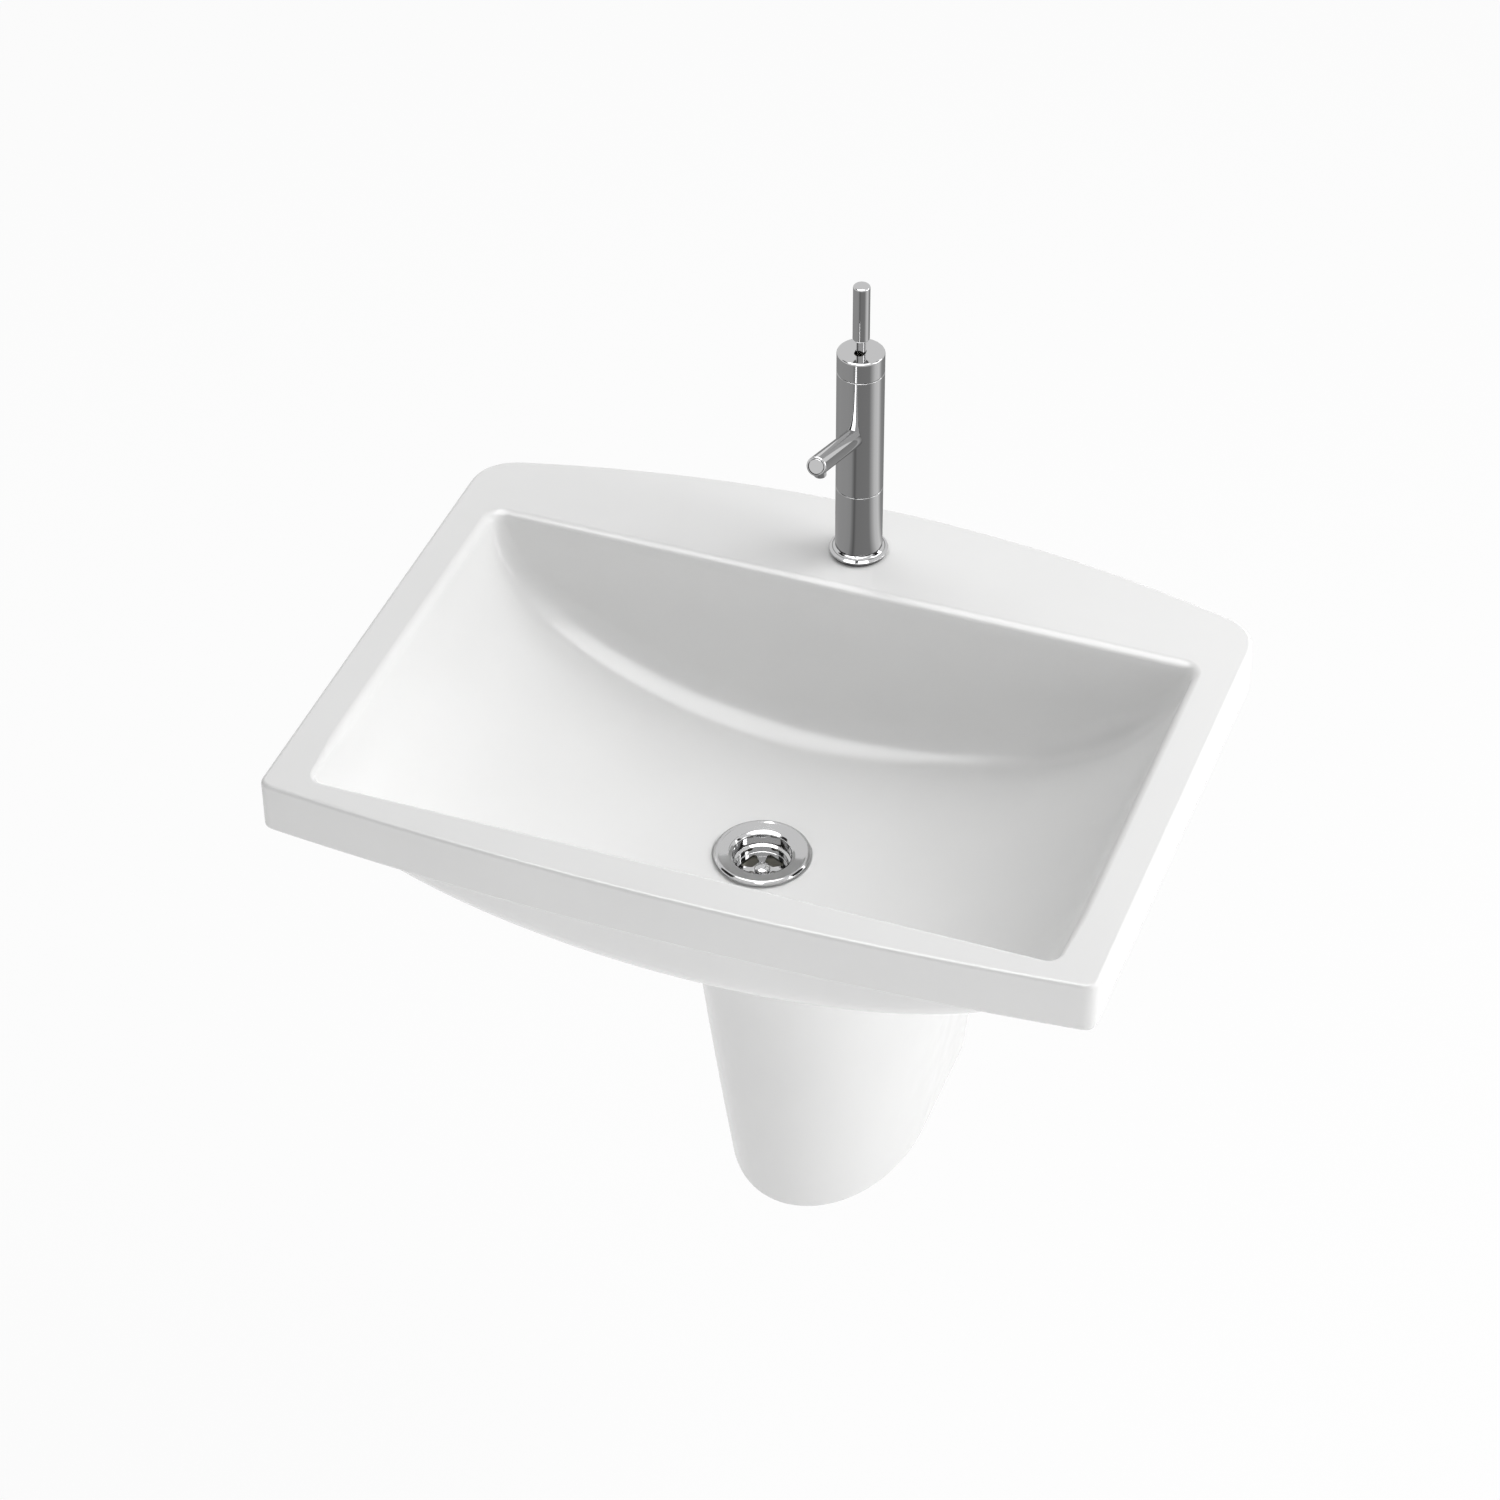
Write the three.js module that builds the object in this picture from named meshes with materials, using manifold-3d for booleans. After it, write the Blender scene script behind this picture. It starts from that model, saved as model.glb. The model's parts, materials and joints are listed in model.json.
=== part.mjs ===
// Wall-hung washbasin with a half pedestal, a joystick mixer tap, a strainer waste and a trap.
// Millimetres. X to the right, Y into the wall, Z up.
// Origin: on the wall, on the centre line, at the height of the two basin bolts.
import * as THREE from 'three';
import { mergeVertices } from 'three/addons/utils/BufferGeometryUtils.js';
import Module from 'manifold-3d';

// ---- Clearances ----
const seat = 0.3; // between two faces that seat on each other
const slip = 0.4; // round a piece that passes through a hole
const over = 2; // how far a cutter runs past the face it opens

// ---- Basin outline ----
const basinWidth = 600;
const sideLength = 398; // straight side, from front corner to back corner
const frontBow = 15.5; // how far the middle of the front edge stands out
const backBow = 45.5; // how far the middle of the back edge stands out
const frontCornerRadius = 9;
const backCornerRadius = 28;
const edgeRadius = 3;
const rimAboveBolts = 90;
const apronHeight = 40.4;
const apronWall = 12;
const deckThickness = 12;
const ceramicWall = 13;

// ---- Bowl ----
const sideRim = 32; // side corner line to the edge of the bowl
const deckDepth = 102; // wall to the back edge of the bowl, on the centre line
const frontRim = 16; // front corner line to the front edge of the bowl
const bowlDepth = 128;
const backLean = THREE.MathUtils.degToRad(12);
const frontLean = THREE.MathUtils.degToRad(12);
const bowlCornerRadius = 9;
const footRadius = 22; // fillet at the foot of the back and front walls
const rimRadius = 7;
const frontRimRadius = 3;
const rimEase = 60; // run over which the front rim's radius grows to the side rim's
const floorFlat = 38; // level floor round the waste
const backFloorRise = 0.15;
const frontFloorRise = 0.09;

// ---- Back of the basin ----
const backWidth = 340;
const backPanel = 12;
const cheek = 12;
const boltFromCheek = 18; // bolt's axis to the inner face of the cheek beside it
const boltHoleRadius = 7.5;

// ---- Half pedestal ----
const pedestalHeight = 388; // bottom edge up to the lowest point of the basin
const pedestalWall = 10;
const pedestalWidthBottom = 149;
const pedestalStraight = 100; // straight sides, from the wall to the rounded front
const pedestalCover = 23.84; // front line ahead of the waste's axis at the top, before its flare
const pedestalSlope = 0.18; // forward lean of the front line
const pedestalSpread = 0.122; // growth of the half width with height
const pedestalSpreadEase = 0.000093; // how that growth eases off
const pedestalFlareDrop = 158; // drop from the basin to where the front line starts to flare
const pedestalFlare = 0.0017;
const pedestalLip = 3;
const lugHeight = 198; // pedestal bolts, above the bottom edge
const lugFromWall = 15; // pedestal bolt's axis to the inner face of the wall beside it
const lugThickness = 12;
const lugTall = 46;
const lugWidth = 30;
const lugHoleRadius = 6;

// ---- Wall studs ----
const basinStudRadius = 5;
const basinStudInWall = 60;
const basinStudOut = 44;
const pedestalStudRadius = 4;
const pedestalStudInWall = 50;
const pedestalStudOut = 36;
const bushFlange = 3;
const bushCollar = 6; // how far the bush's flange covers the ceramic round its hole
const bushShort = 1; // the bush's sleeve stops short of the wall
const washerThickness = 2;

// ---- Tap ----
const tapFromWall = 55;
const tapRadius = 17.25;
const tapHoleRadius = 17.5;
const tapRingRadius = 21.5;
const tapRingHeight = 5;
const tapGasketHeight = 1.4;
const sleeveHeight = 51.6;
const sleeveWall = 2.8;
const bodyHeight = 100.3;
const capHeight = 16.3;
const shankWall = 1.5; // hole in the deck to the threaded shank
const shankLength = 46;
const hoseRadius = 4.5;
const hoseOffset = 7.5;
const tapWasherRadius = 24;
const tapSealHeight = 3;
const tapNutFlats = 42;
const tapNutHeight = 10;

// ---- Spout ----
const spoutRootHeight = 105; // where the spout's axis meets the tap's axis, above the deck
const spoutReach = 93;
const spoutRise = THREE.MathUtils.degToRad(20.4);
const spoutRadius = 7.2;
const spoutBore = 4.8;
const spoutPlugRadius = 5.6;
const spoutPlugLength = 4;
const spoutChamfer = 0.8;
const aeratorRadius = 4.4;
const aeratorWall = 0.9;
const aeratorDrop = 2.4;
const aeratorFromEnd = 9;

// ---- Lever and cartridge ----
const leverRadius = 6.1;
const leverLength = 45;
const leverChamfer = 0.7;
const neckRadius = 3.5;
const neckLength = 10.3; // cap to the thick part of the lever
const leverTilt = THREE.MathUtils.degToRad(20);
const pivotBelowCap = 8;
const ballRadius = 4.5;
const stemRadius = 2;
const stemLength = 9.5; // pivot to the tip
const capPlate = 2.5;
const cavityDepth = 21.6;
const cavityRadius = 13.9;
const cartridgeNeck = 1.2; // step in under the retaining nut
const cartridgeBore = 11.5;
const cartridgeFloor = 3;
const cartridgeSealHeight = 1.2;
const retainerHeight = 6;
const retainerWall = 2.2;
const discThickness = 4;
const movingDiscRadius = 8.2;
const driverRadius = 6.6;
const driverBelowPivot = 6.5;
const driverPlay = 0.9; // round the stem's tip in its pocket, along the stroke
const inletRadius = 2.4;
const inletX = 5.8;
const inletY = 2.6;
const outletRadius = 2.6;
const outletY = -5.6;

// ---- Waste ----
const wasteFromWall = 259;
const wasteHoleRadius = 23;
const wasteFlangeRadius = 35;
const wasteFlangeHeight = 4.8;
const wasteCupWall = 1.2;
const wasteCupDepth = 15;
const wasteLedge = 2.2;
const wasteLedgeDepth = 8;
const strainerThickness = 2;
const strainerHoleRadius = 4.9;
const strainerHoleOffset = 11.4;
const wasteScrewRadius = 3.9;
const wasteScrewHeadRadius = 5.8;
const wasteScrewHeadHeight = 3;
const wasteSealHeight = 1;
const lowerSealHeight = 4;
const wasteBodyRadius = 30;
const wasteBodyFlange = 3;
const tailRadius = 20.9;
const tailWall = 2.9;
const tailLength = 30;
const bridgeDepth = 14; // under the waste body's flange
const bridgeHeight = 6;
const bridgeHub = 7;

// ---- Trap ----
const pipeRadius = 16;
const pipeWall = 1.5;
const pipeBend = 36;
const pipeStraight = 5;
const pipeCollar = 1.6;
const trapFromWall = 124;
const trapRadius = 30;
const trapWall = 2.6;
const trapBodyHeight = 48;
const trapCollarHeight = 14;
const trapThreadHeight = 12;
const trapCupDepth = 60;
const trapCupRounding = 12;
const trapOutletDrop = 24; // shoulder to the outlet's axis
const trapOutletCollar = 16;
const dipBelowOutlet = 40;
const unionWall = 2.4;
const unionLip = 2.4;
const unionLength = 18;
const sealThickness = 3;
const outletInWall = 30;
const rosetteRadius = 36;
const rosetteHeight = 9;
const rosettePlate = 1.6;

// ---- Roundness ----
const fine = 28;
const medium = 18;
const coarse = 12;

// ---- Places that follow from the sizes ----
const rimZ = rimAboveBolts;
const halfWidth = basinWidth / 2;
const backCornerY = -backBow;
const frontCornerY = backCornerY - sideLength;
const bowlHalf = halfWidth - sideRim;
const bowlBackY = -deckDepth;
const bowlFrontY = frontCornerY + frontRim;
const wasteY = -wasteFromWall;
const floorZ = rimZ - bowlDepth;
const undersideZ = floorZ - ceramicWall;
const tapY = -tapFromWall;
const boltSpacing = backWidth - 2 * (cheek + boltFromCheek);
const pedestalBottomZ = undersideZ - pedestalHeight;
const pedestalDepthTop = wasteFromWall + pedestalCover;
const lugX = pedestalHalfWidth(lugHeight) - pedestalWall - lugFromWall;
const backRun = (bowlDepth + ceramicWall) * Math.tan(backLean);
const backFootY = bowlBackY + ceramicWall / Math.cos(backLean) - backRun - footRadius;

const wasm = await Module();
wasm.setup();

// ---- Solids: three.js geometry in, three.js geometry out, joined and cut by manifold ----
function bare(geometry) {
  const copy = geometry.clone();
  for (const name of Object.keys(copy.attributes)) {
    if (name !== 'position') copy.deleteAttribute(name);
  }
  return mergeVertices(copy, 1e-4);
}

function toManifold(geometry) {
  const merged = bare(geometry);
  const position = merged.attributes.position;
  const triangles = Uint32Array.from(merged.index.array);
  const [a, b, c] = [new THREE.Vector3(), new THREE.Vector3(), new THREE.Vector3()];
  let volume = 0;
  for (let i = 0; i < triangles.length; i += 3) {
    a.fromBufferAttribute(position, triangles[i]);
    b.fromBufferAttribute(position, triangles[i + 1]);
    c.fromBufferAttribute(position, triangles[i + 2]);
    volume += a.dot(b.cross(c));
  }
  if (volume < 0) {
    for (let i = 0; i < triangles.length; i += 3) {
      [triangles[i + 1], triangles[i + 2]] = [triangles[i + 2], triangles[i + 1]];
    }
  }
  const vertices = Float32Array.from(position.array);
  return new wasm.Manifold(new wasm.Mesh({ numProp: 3, vertProperties: vertices, triVerts: triangles }));
}

function toGeometry(manifold) {
  const mesh = manifold.getMesh();
  const geometry = new THREE.BufferGeometry();
  geometry.setAttribute('position', new THREE.BufferAttribute(Float32Array.from(mesh.vertProperties), 3));
  geometry.setIndex(new THREE.BufferAttribute(Uint32Array.from(mesh.triVerts), 1));
  geometry.computeVertexNormals();
  return geometry;
}

function solid(geometry) {
  return toGeometry(toManifold(geometry));
}

function cut(geometry, ...cutters) {
  const body = toManifold(geometry);
  return toGeometry(cutters.reduce((rest, cutter) => rest.subtract(toManifold(cutter)), body));
}

function join(geometry, ...others) {
  const body = toManifold(geometry);
  return toGeometry(others.reduce((whole, other) => whole.add(toManifold(other)), body));
}

function common(geometry, other) {
  return toGeometry(toManifold(geometry).intersect(toManifold(other)));
}

// ---- Forms ----
// A turned piece: the profile is [radius, height] pairs, closed on itself unless it ends on the axis.
function turned(profile, segments) {
  const points = profile.map(([radius, height]) => new THREE.Vector2(radius, height));
  const onAxis = profile[0][0] === 0 && profile[profile.length - 1][0] === 0;
  if (!onAxis) points.push(points[0].clone());
  const geometry = new THREE.LatheGeometry(points, segments);
  geometry.rotateX(Math.PI / 2);
  return solid(geometry);
}

// A ring or, with no bore, a disc, from one height to another.
function ring(outer, bore, low, high, segments) {
  if (bore === 0) return turned([[0, low], [outer, low], [outer, high], [0, high]], segments);
  return turned([[bore, low], [outer, low], [outer, high], [bore, high]], segments);
}

function disc(radius, low, high, segments) {
  return ring(radius, 0, low, high, segments);
}

function block(x0, x1, y0, y1, z0, z1) {
  const geometry = new THREE.BoxGeometry(x1 - x0, y1 - y0, z1 - z0);
  geometry.translate((x0 + x1) / 2, (y0 + y1) / 2, (z0 + z1) / 2);
  return geometry;
}

function moved(geometry, x, y, z) {
  return geometry.clone().translate(x, y, z);
}

// A piece made along +Z, laid along +Y.
function alongY(geometry) {
  return geometry.clone().rotateX(-Math.PI / 2);
}

function hexNut(acrossFlats, bore, low, high, segments) {
  const corner = acrossFlats / Math.sqrt(3);
  return cut(disc(corner, low, high, 6), disc(bore, low - over, high + over, segments));
}

// A tube along a path of straight runs and bends.
function pipe(path, radius, wall, steps) {
  const section = new THREE.Shape();
  section.absarc(0, 0, radius, 0, 2 * Math.PI);
  const bore = new THREE.Path();
  bore.absarc(0, 0, radius - wall, 0, 2 * Math.PI, true);
  section.holes.push(bore);
  const options = { steps, extrudePath: path, curveSegments: coarse / 2 };
  return solid(new THREE.ExtrudeGeometry(section, options));
}

// A closed solid between the surface z = surface(x, y) on a grid and a level cap.
function heightSolid(xs, ys, surface, capZ) {
  const positions = [];
  const triangles = [];
  const at = (i, j) => j * xs.length + i;
  for (const y of ys) {
    for (const x of xs) positions.push(x, y, surface(x, y));
  }
  for (let j = 0; j < ys.length - 1; j += 1) {
    for (let i = 0; i < xs.length - 1; i += 1) {
      triangles.push(at(i, j), at(i + 1, j), at(i + 1, j + 1), at(i, j), at(i + 1, j + 1), at(i, j + 1));
    }
  }
  const border = [];
  for (let i = 0; i < xs.length - 1; i += 1) border.push([i, 0]);
  for (let j = 0; j < ys.length - 1; j += 1) border.push([xs.length - 1, j]);
  for (let i = xs.length - 1; i > 0; i -= 1) border.push([i, ys.length - 1]);
  for (let j = ys.length - 1; j > 0; j -= 1) border.push([0, j]);
  const firstCap = positions.length / 3;
  for (const [i, j] of border) positions.push(xs[i], ys[j], capZ);
  const centre = positions.length / 3;
  positions.push((xs[0] + xs[xs.length - 1]) / 2, (ys[0] + ys[ys.length - 1]) / 2, capZ);
  border.forEach(([i, j], k) => {
    const next = (k + 1) % border.length;
    const [ni, nj] = border[next];
    triangles.push(at(ni, nj), at(i, j), firstCap + k, at(ni, nj), firstCap + k, firstCap + next);
    triangles.push(firstCap + next, firstCap + k, centre);
  });
  const geometry = new THREE.BufferGeometry();
  geometry.setAttribute('position', new THREE.Float32BufferAttribute(positions, 3));
  geometry.setIndex(triangles);
  return solid(geometry);
}

// A loft through closed rings of points, each with the same count, capped by fans.
function loft(rings) {
  const count = rings[0].length;
  const positions = rings.flat().flatMap((p) => [p.x, p.y, p.z]);
  const triangles = [];
  for (let j = 0; j < rings.length - 1; j += 1) {
    for (let i = 0; i < count; i += 1) {
      const [a, b] = [j * count + i, j * count + ((i + 1) % count)];
      triangles.push(a, b, b + count, a, b + count, a + count);
    }
  }
  const last = (rings.length - 1) * count;
  for (let i = 1; i < count - 1; i += 1) {
    triangles.push(0, i + 1, i);
    triangles.push(last, last + i, last + i + 1);
  }
  const geometry = new THREE.BufferGeometry();
  geometry.setAttribute('position', new THREE.Float32BufferAttribute(positions, 3));
  geometry.setIndex(triangles);
  return solid(geometry);
}

// Places along one axis that are evenly spaced on the curve (s, height(s)).
function evenStations(height, low, high, count) {
  const samples = 4000;
  const lengths = [0];
  const place = (k) => low + ((high - low) * k) / samples;
  for (let k = 1; k <= samples; k += 1) {
    const step = Math.hypot(place(k) - place(k - 1), height(place(k)) - height(place(k - 1)));
    lengths.push(lengths[k - 1] + step);
  }
  const stations = [];
  let k = 0;
  for (let n = 0; n <= count; n += 1) {
    const target = (lengths[samples] * n) / count;
    while (k < samples && lengths[k] < target) k += 1;
    stations.push(place(k));
  }
  return stations;
}

// ---- Basin ----
// The plan outline: straight sides, bowed front and back, rounded corners.
function basinOutline(inset) {
  const half = halfWidth - inset;
  const front = frontCornerY + inset;
  const back = backCornerY - inset;
  const arcPoint = (x, cornerY, bow) => cornerY + bow * (1 - (x / half) ** 2);
  const shape = new THREE.Shape();
  const corner = (radius) => Math.max(radius - inset, 2);
  const frontRadius = corner(frontCornerRadius);
  const backRadius = corner(backCornerRadius);
  const steps = 12;
  for (let i = 0; i <= steps; i += 1) {
    const x = (half - frontRadius) * ((2 * i) / steps - 1);
    const y = arcPoint(x, front, -frontBow);
    if (i === 0) shape.moveTo(x, y);
    else shape.lineTo(x, y);
  }
  shape.quadraticCurveTo(half, front, half, front + frontRadius);
  shape.lineTo(half, back - backRadius);
  shape.quadraticCurveTo(half, back, half - backRadius, arcPoint(half - backRadius, back, backBow));
  for (let i = 1; i <= steps; i += 1) {
    const x = (half - backRadius) * (1 - (2 * i) / steps);
    shape.lineTo(x, arcPoint(x, back, backBow));
  }
  shape.quadraticCurveTo(-half, back, -half, back - backRadius);
  shape.lineTo(-half, front + frontRadius);
  shape.quadraticCurveTo(-half, front, frontRadius - half, arcPoint(frontRadius - half, front, -frontBow));
  return shape;
}

function slab(inset, low, high, bevel) {
  const geometry = new THREE.ExtrudeGeometry(basinOutline(inset + bevel), {
    depth: high - low - 2 * bevel,
    bevelEnabled: bevel > 0,
    bevelThickness: bevel,
    bevelSize: bevel,
    bevelSegments: 2,
    curveSegments: 4,
  });
  geometry.translate(0, 0, low + bevel);
  return solid(geometry);
}

// Depth of the floor under the rim: level round the waste, rising gently to front and back.
function floorDepth(y) {
  const away = Math.max(0, Math.abs(y - wasteY) - floorFlat);
  const rise = y > wasteY ? backFloorRise : frontFloorRise;
  return bowlDepth - (rise * away * away) / (away + 20);
}

function roundedMeet(a, b, radius) {
  const [u, v] = [Math.max(radius + a, 0), Math.max(radius + b, 0)];
  return Math.min(-radius, Math.max(a, b)) + Math.hypot(u, v);
}

// Distance from the bowl's wall, negative inside the bowl, for the inner face or one set out by grow.
function bowlDistance(x, y, drop, grow) {
  const [a, b] = [bowlHalf + grow, floorDepth(y) + grow];
  const level = Math.hypot(x / a, drop / b);
  const slope = Math.hypot(x / (a * a), drop / (b * b)) / Math.max(level, 1e-6);
  const trough = (level - 1) / Math.max(slope, 1e-6);
  const backWall = (y - bowlBackY - drop * Math.tan(backLean)) * Math.cos(backLean) - grow;
  const frontWall = (bowlFrontY - drop * Math.tan(frontLean) - y) * Math.cos(frontLean) - grow;
  const depthShare = Math.min(1, -drop / (bowlDepth / 2));
  const radius = bowlCornerRadius + (footRadius - bowlCornerRadius) * depthShare + grow;
  return roundedMeet(roundedMeet(trough, backWall, radius), frontWall, radius);
}

function heightWhere(inside, low, high) {
  let [under, above] = [low, high];
  for (let i = 0; i < 36; i += 1) {
    const middle = (under + above) / 2;
    if (inside(middle) < 0) above = middle;
    else under = middle;
  }
  return (under + above) / 2;
}

// The basin's upper surface over the bowl and its rounded rim, as a height over the row's origin.
// Past the rim it climbs a little, so that it leaves the deck on a clean line.
function bowlSurface(x, y) {
  const towardBack = THREE.MathUtils.smoothstep(y, bowlFrontY, bowlFrontY + rimEase);
  const radius = frontRimRadius + (rimRadius - frontRimRadius) * towardBack;
  const air = (drop) => {
    const wall = bowlDistance(x, y, Math.min(drop, 0), 0);
    const [u, v] = [Math.max(radius - wall, 0), Math.max(radius + drop, 0)];
    return Math.max(radius, Math.min(wall, -drop)) - Math.hypot(u, v);
  };
  const past = Math.max(0, bowlDistance(x, y, 0, 0) - 0.9 * radius);
  return rimZ + heightWhere(air, -bowlDepth - over, over) + past / 10;
}

// The outer face of the bowl, a wall's thickness outside the inner one.
function bellySurface(x, y) {
  return rimZ + heightWhere((drop) => bowlDistance(x, y, drop, ceramicWall), -bowlDepth - 2 * ceramicWall, 0);
}

function bowlCutter() {
  const rim = [0.4, 1.1];
  const half = [
    ...evenStations((x) => bowlSurface(x, wasteY), 0, bowlHalf, 12),
    ...rim.map((share) => bowlHalf + rimRadius * share)];
  const xs = [...half.slice(1).reverse().map((x) => -x), ...half];
  const ys = [
    ...rim.map((share) => bowlFrontY - frontRimRadius * share).reverse(),
    ...evenStations((y) => bowlSurface(0, y), bowlFrontY, bowlBackY, 25),
    ...rim.map((share) => bowlBackY + rimRadius * share)];
  return heightSolid(xs, ys, bowlSurface, rimZ + over);
}

function bellySolid() {
  const topZ = rimZ - deckThickness / 2;
  const side = bowlHalf + ceramicWall - over;
  const front = bowlFrontY - ceramicWall + over;
  const back = bowlBackY + ceramicWall - over;
  const surface = (x, y) => Math.min(bellySurface(x, y), topZ - 1);
  const half = evenStations((x) => surface(x, wasteY), 0, side, 8);
  const xs = [...half.slice(1).reverse().map((x) => -x), ...half];
  const ys = evenStations((y) => surface(0, y), front, back, 14);
  return heightSolid(xs, ys, surface, topZ);
}

// The underside that the pedestal meets, as a depth under the rim; level from the foot of the back wall on.
function undersideDepth(x, y) {
  const depth = floorDepth(Math.min(y, backFootY)) + ceramicWall;
  return depth * Math.sqrt(1 - (x / (bowlHalf + ceramicWall)) ** 2);
}

// Bottom edge of the back panel and its cheeks: the belly's curve, carried on to the wall.
function backOutline() {
  const shape = new THREE.Shape();
  const half = backWidth / 2;
  shape.moveTo(half, rimZ - deckThickness / 2);
  shape.lineTo(-half, rimZ - deckThickness / 2);
  const steps = 18;
  for (let i = 0; i <= steps; i += 1) {
    const x = half * ((2 * i) / steps - 1);
    shape.lineTo(x, rimZ - undersideDepth(x, 0));
  }
  return shape;
}

// Y of the outer face of the bowl's back wall at a height.
function bowlBackOuterY(z) {
  return bowlBackY + ceramicWall / Math.cos(backLean) - (rimZ - z) * Math.tan(backLean);
}

function backBody() {
  const start = bowlBackOuterY(undersideZ) - over;
  const geometry = new THREE.ExtrudeGeometry(backOutline(), { depth: -start, bevelEnabled: false });
  geometry.rotateX(Math.PI / 2);
  const apronLow = rimZ - apronHeight;
  const underDeck = common(geometry, slab(seat, apronLow - over, rimZ, 0));
  const below = block(-backWidth, backWidth, start - over, over, pedestalBottomZ, apronLow);
  return join(underDeck, common(geometry, below));
}

// The open chamber behind the bowl that holds the tap's fixings and the wall bolts.
function backChamber() {
  const [top, bottom] = [rimZ - deckThickness, undersideZ - over];
  const shape = new THREE.Shape();
  shape.moveTo(-backPanel, top);
  shape.lineTo(-backPanel, bottom);
  shape.lineTo(bowlBackOuterY(bottom), bottom);
  shape.lineTo(bowlBackOuterY(top), top);
  const width = backWidth - 2 * cheek;
  const geometry = new THREE.ExtrudeGeometry(shape, { depth: width, bevelEnabled: false });
  geometry.applyMatrix4(new THREE.Matrix4().makeBasis(
    new THREE.Vector3(0, 1, 0), new THREE.Vector3(0, 0, 1), new THREE.Vector3(1, 0, 0)));
  geometry.translate(-width / 2, 0, 0);
  return solid(geometry);
}

function basin() {
  const apronLow = rimZ - apronHeight;
  const shell = cut(
    slab(0, apronLow, rimZ, edgeRadius),
    slab(apronWall, apronLow - over, rimZ - deckThickness, 0));
  const wasteHole = disc(wasteHoleRadius, undersideZ - over, floorZ + over, medium);
  const wasteSeat = disc(wasteFlangeRadius + 1, floorZ, floorZ + 6, medium);
  const tapHole = disc(tapHoleRadius, rimZ - deckThickness - over, rimZ + over, medium);
  const boltHole = alongY(disc(boltHoleRadius, -backPanel - over, over, coarse));
  return cut(
    join(shell, bellySolid(), backBody()),
    bowlCutter(),
    backChamber(),
    moved(wasteHole, 0, wasteY, 0),
    moved(wasteSeat, 0, wasteY, 0),
    moved(tapHole, 0, tapY, 0),
    moved(boltHole, boltSpacing / 2, 0, 0),
    moved(boltHole, -boltSpacing / 2, 0, 0));
}

// ---- Half pedestal ----
function pedestalHalfWidth(height) {
  return pedestalWidthBottom / 2 + pedestalSpread * height - pedestalSpreadEase * height * height;
}

function pedestalDepth(height) {
  const drop = pedestalHeight - height;
  const flare = Math.max(0, pedestalFlareDrop - drop);
  return pedestalDepthTop - pedestalSlope * drop + pedestalFlare * flare * flare;
}

// One U-shaped section: straight sides off the wall and a half-elliptical front.
function pedestalSection(height, inset, pastWall) {
  const half = pedestalHalfWidth(height) - inset;
  const nose = pedestalDepth(height) - pedestalStraight - inset;
  const steps = 18;
  const points = [new THREE.Vector3(half, pastWall, 0)];
  for (let i = 0; i <= steps; i += 1) {
    const angle = (Math.PI * i) / steps;
    points.push(new THREE.Vector3(half * Math.cos(angle), -pedestalStraight - nose * Math.sin(angle), 0));
  }
  points.push(new THREE.Vector3(-half, pastWall, 0));
  for (const point of points) point.z = pedestalBottomZ + height;
  return points;
}

function pedestalLoft(inset, pastWall, heights) {
  return loft(heights.map(([height, extra]) => pedestalSection(height, inset + extra, pastWall)));
}

function semiPedestal() {
  const top = pedestalHeight + ceramicWall;
  const rows = [40, 100, 160, 220, 280, 320, 360];
  const plain = rows.map((height) => [height, 0]);
  const outerRows = [[0, pedestalLip], [1, pedestalLip / 3], [pedestalLip, 0], ...plain, [top, 0]];
  const innerRows = [[-over, 0], ...plain, [top + over, 0]];
  const shell = cut(pedestalLoft(0, 0, outerRows), pedestalLoft(pedestalWall, over, innerRows));
  const lugZ = pedestalBottomZ + lugHeight;
  const lugs = [-1, 1].map((side) => {
    const wallX = pedestalHalfWidth(lugHeight) - pedestalWall / 2;
    const near = lugX - lugWidth / 2;
    const [x0, x1] = side > 0 ? [near, wallX] : [-wallX, -near];
    return block(x0, x1, -lugThickness, 0, lugZ - lugTall / 2, lugZ + lugTall / 2);
  });
  const hole = alongY(disc(lugHoleRadius, -lugThickness - over, over, coarse));
  const half = pedestalHalfWidth(top) + over;
  const xs = Array.from({ length: 17 }, (_, i) => half * (i / 8 - 1));
  const ys = evenStations((y) => y, -pedestalDepth(top) - over, over, 14);
  const underside = (x, y) => rimZ - undersideDepth(x, y) - seat;
  return cut(
    join(shell, ...lugs),
    heightSolid(xs, ys, underside, rimZ),
    moved(hole, lugX, 0, lugZ),
    moved(hole, -lugX, 0, lugZ));
}

// ---- Finishes ----
function finish(color, roughness, metalness) {
  return new THREE.MeshStandardMaterial({ color, roughness, metalness });
}

const china = finish(0xf4f4f2, 0.12, 0);
const chrome = finish(0xc9ccd0, 0.08, 1);
const brass = finish(0xb99a55, 0.35, 1);
const steel = finish(0xa9acb0, 0.35, 1);
const rubber = finish(0x1c1c1d, 0.8, 0);
const nylon = finish(0xe6e4da, 0.5, 0);
const discCeramic = finish(0xdad6cc, 0.3, 0);

const part = new THREE.Group();

function add(name, geometry, material, parent = part) {
  const mesh = new THREE.Mesh(geometry, material);
  mesh.name = name;
  parent.add(mesh);
  return mesh;
}

function groupAt(x, y, z) {
  const group = new THREE.Group();
  group.position.set(x, y, z);
  part.add(group);
  return group;
}

add('basin', basin(), china);
add('semi_pedestal', semiPedestal(), china);

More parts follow.
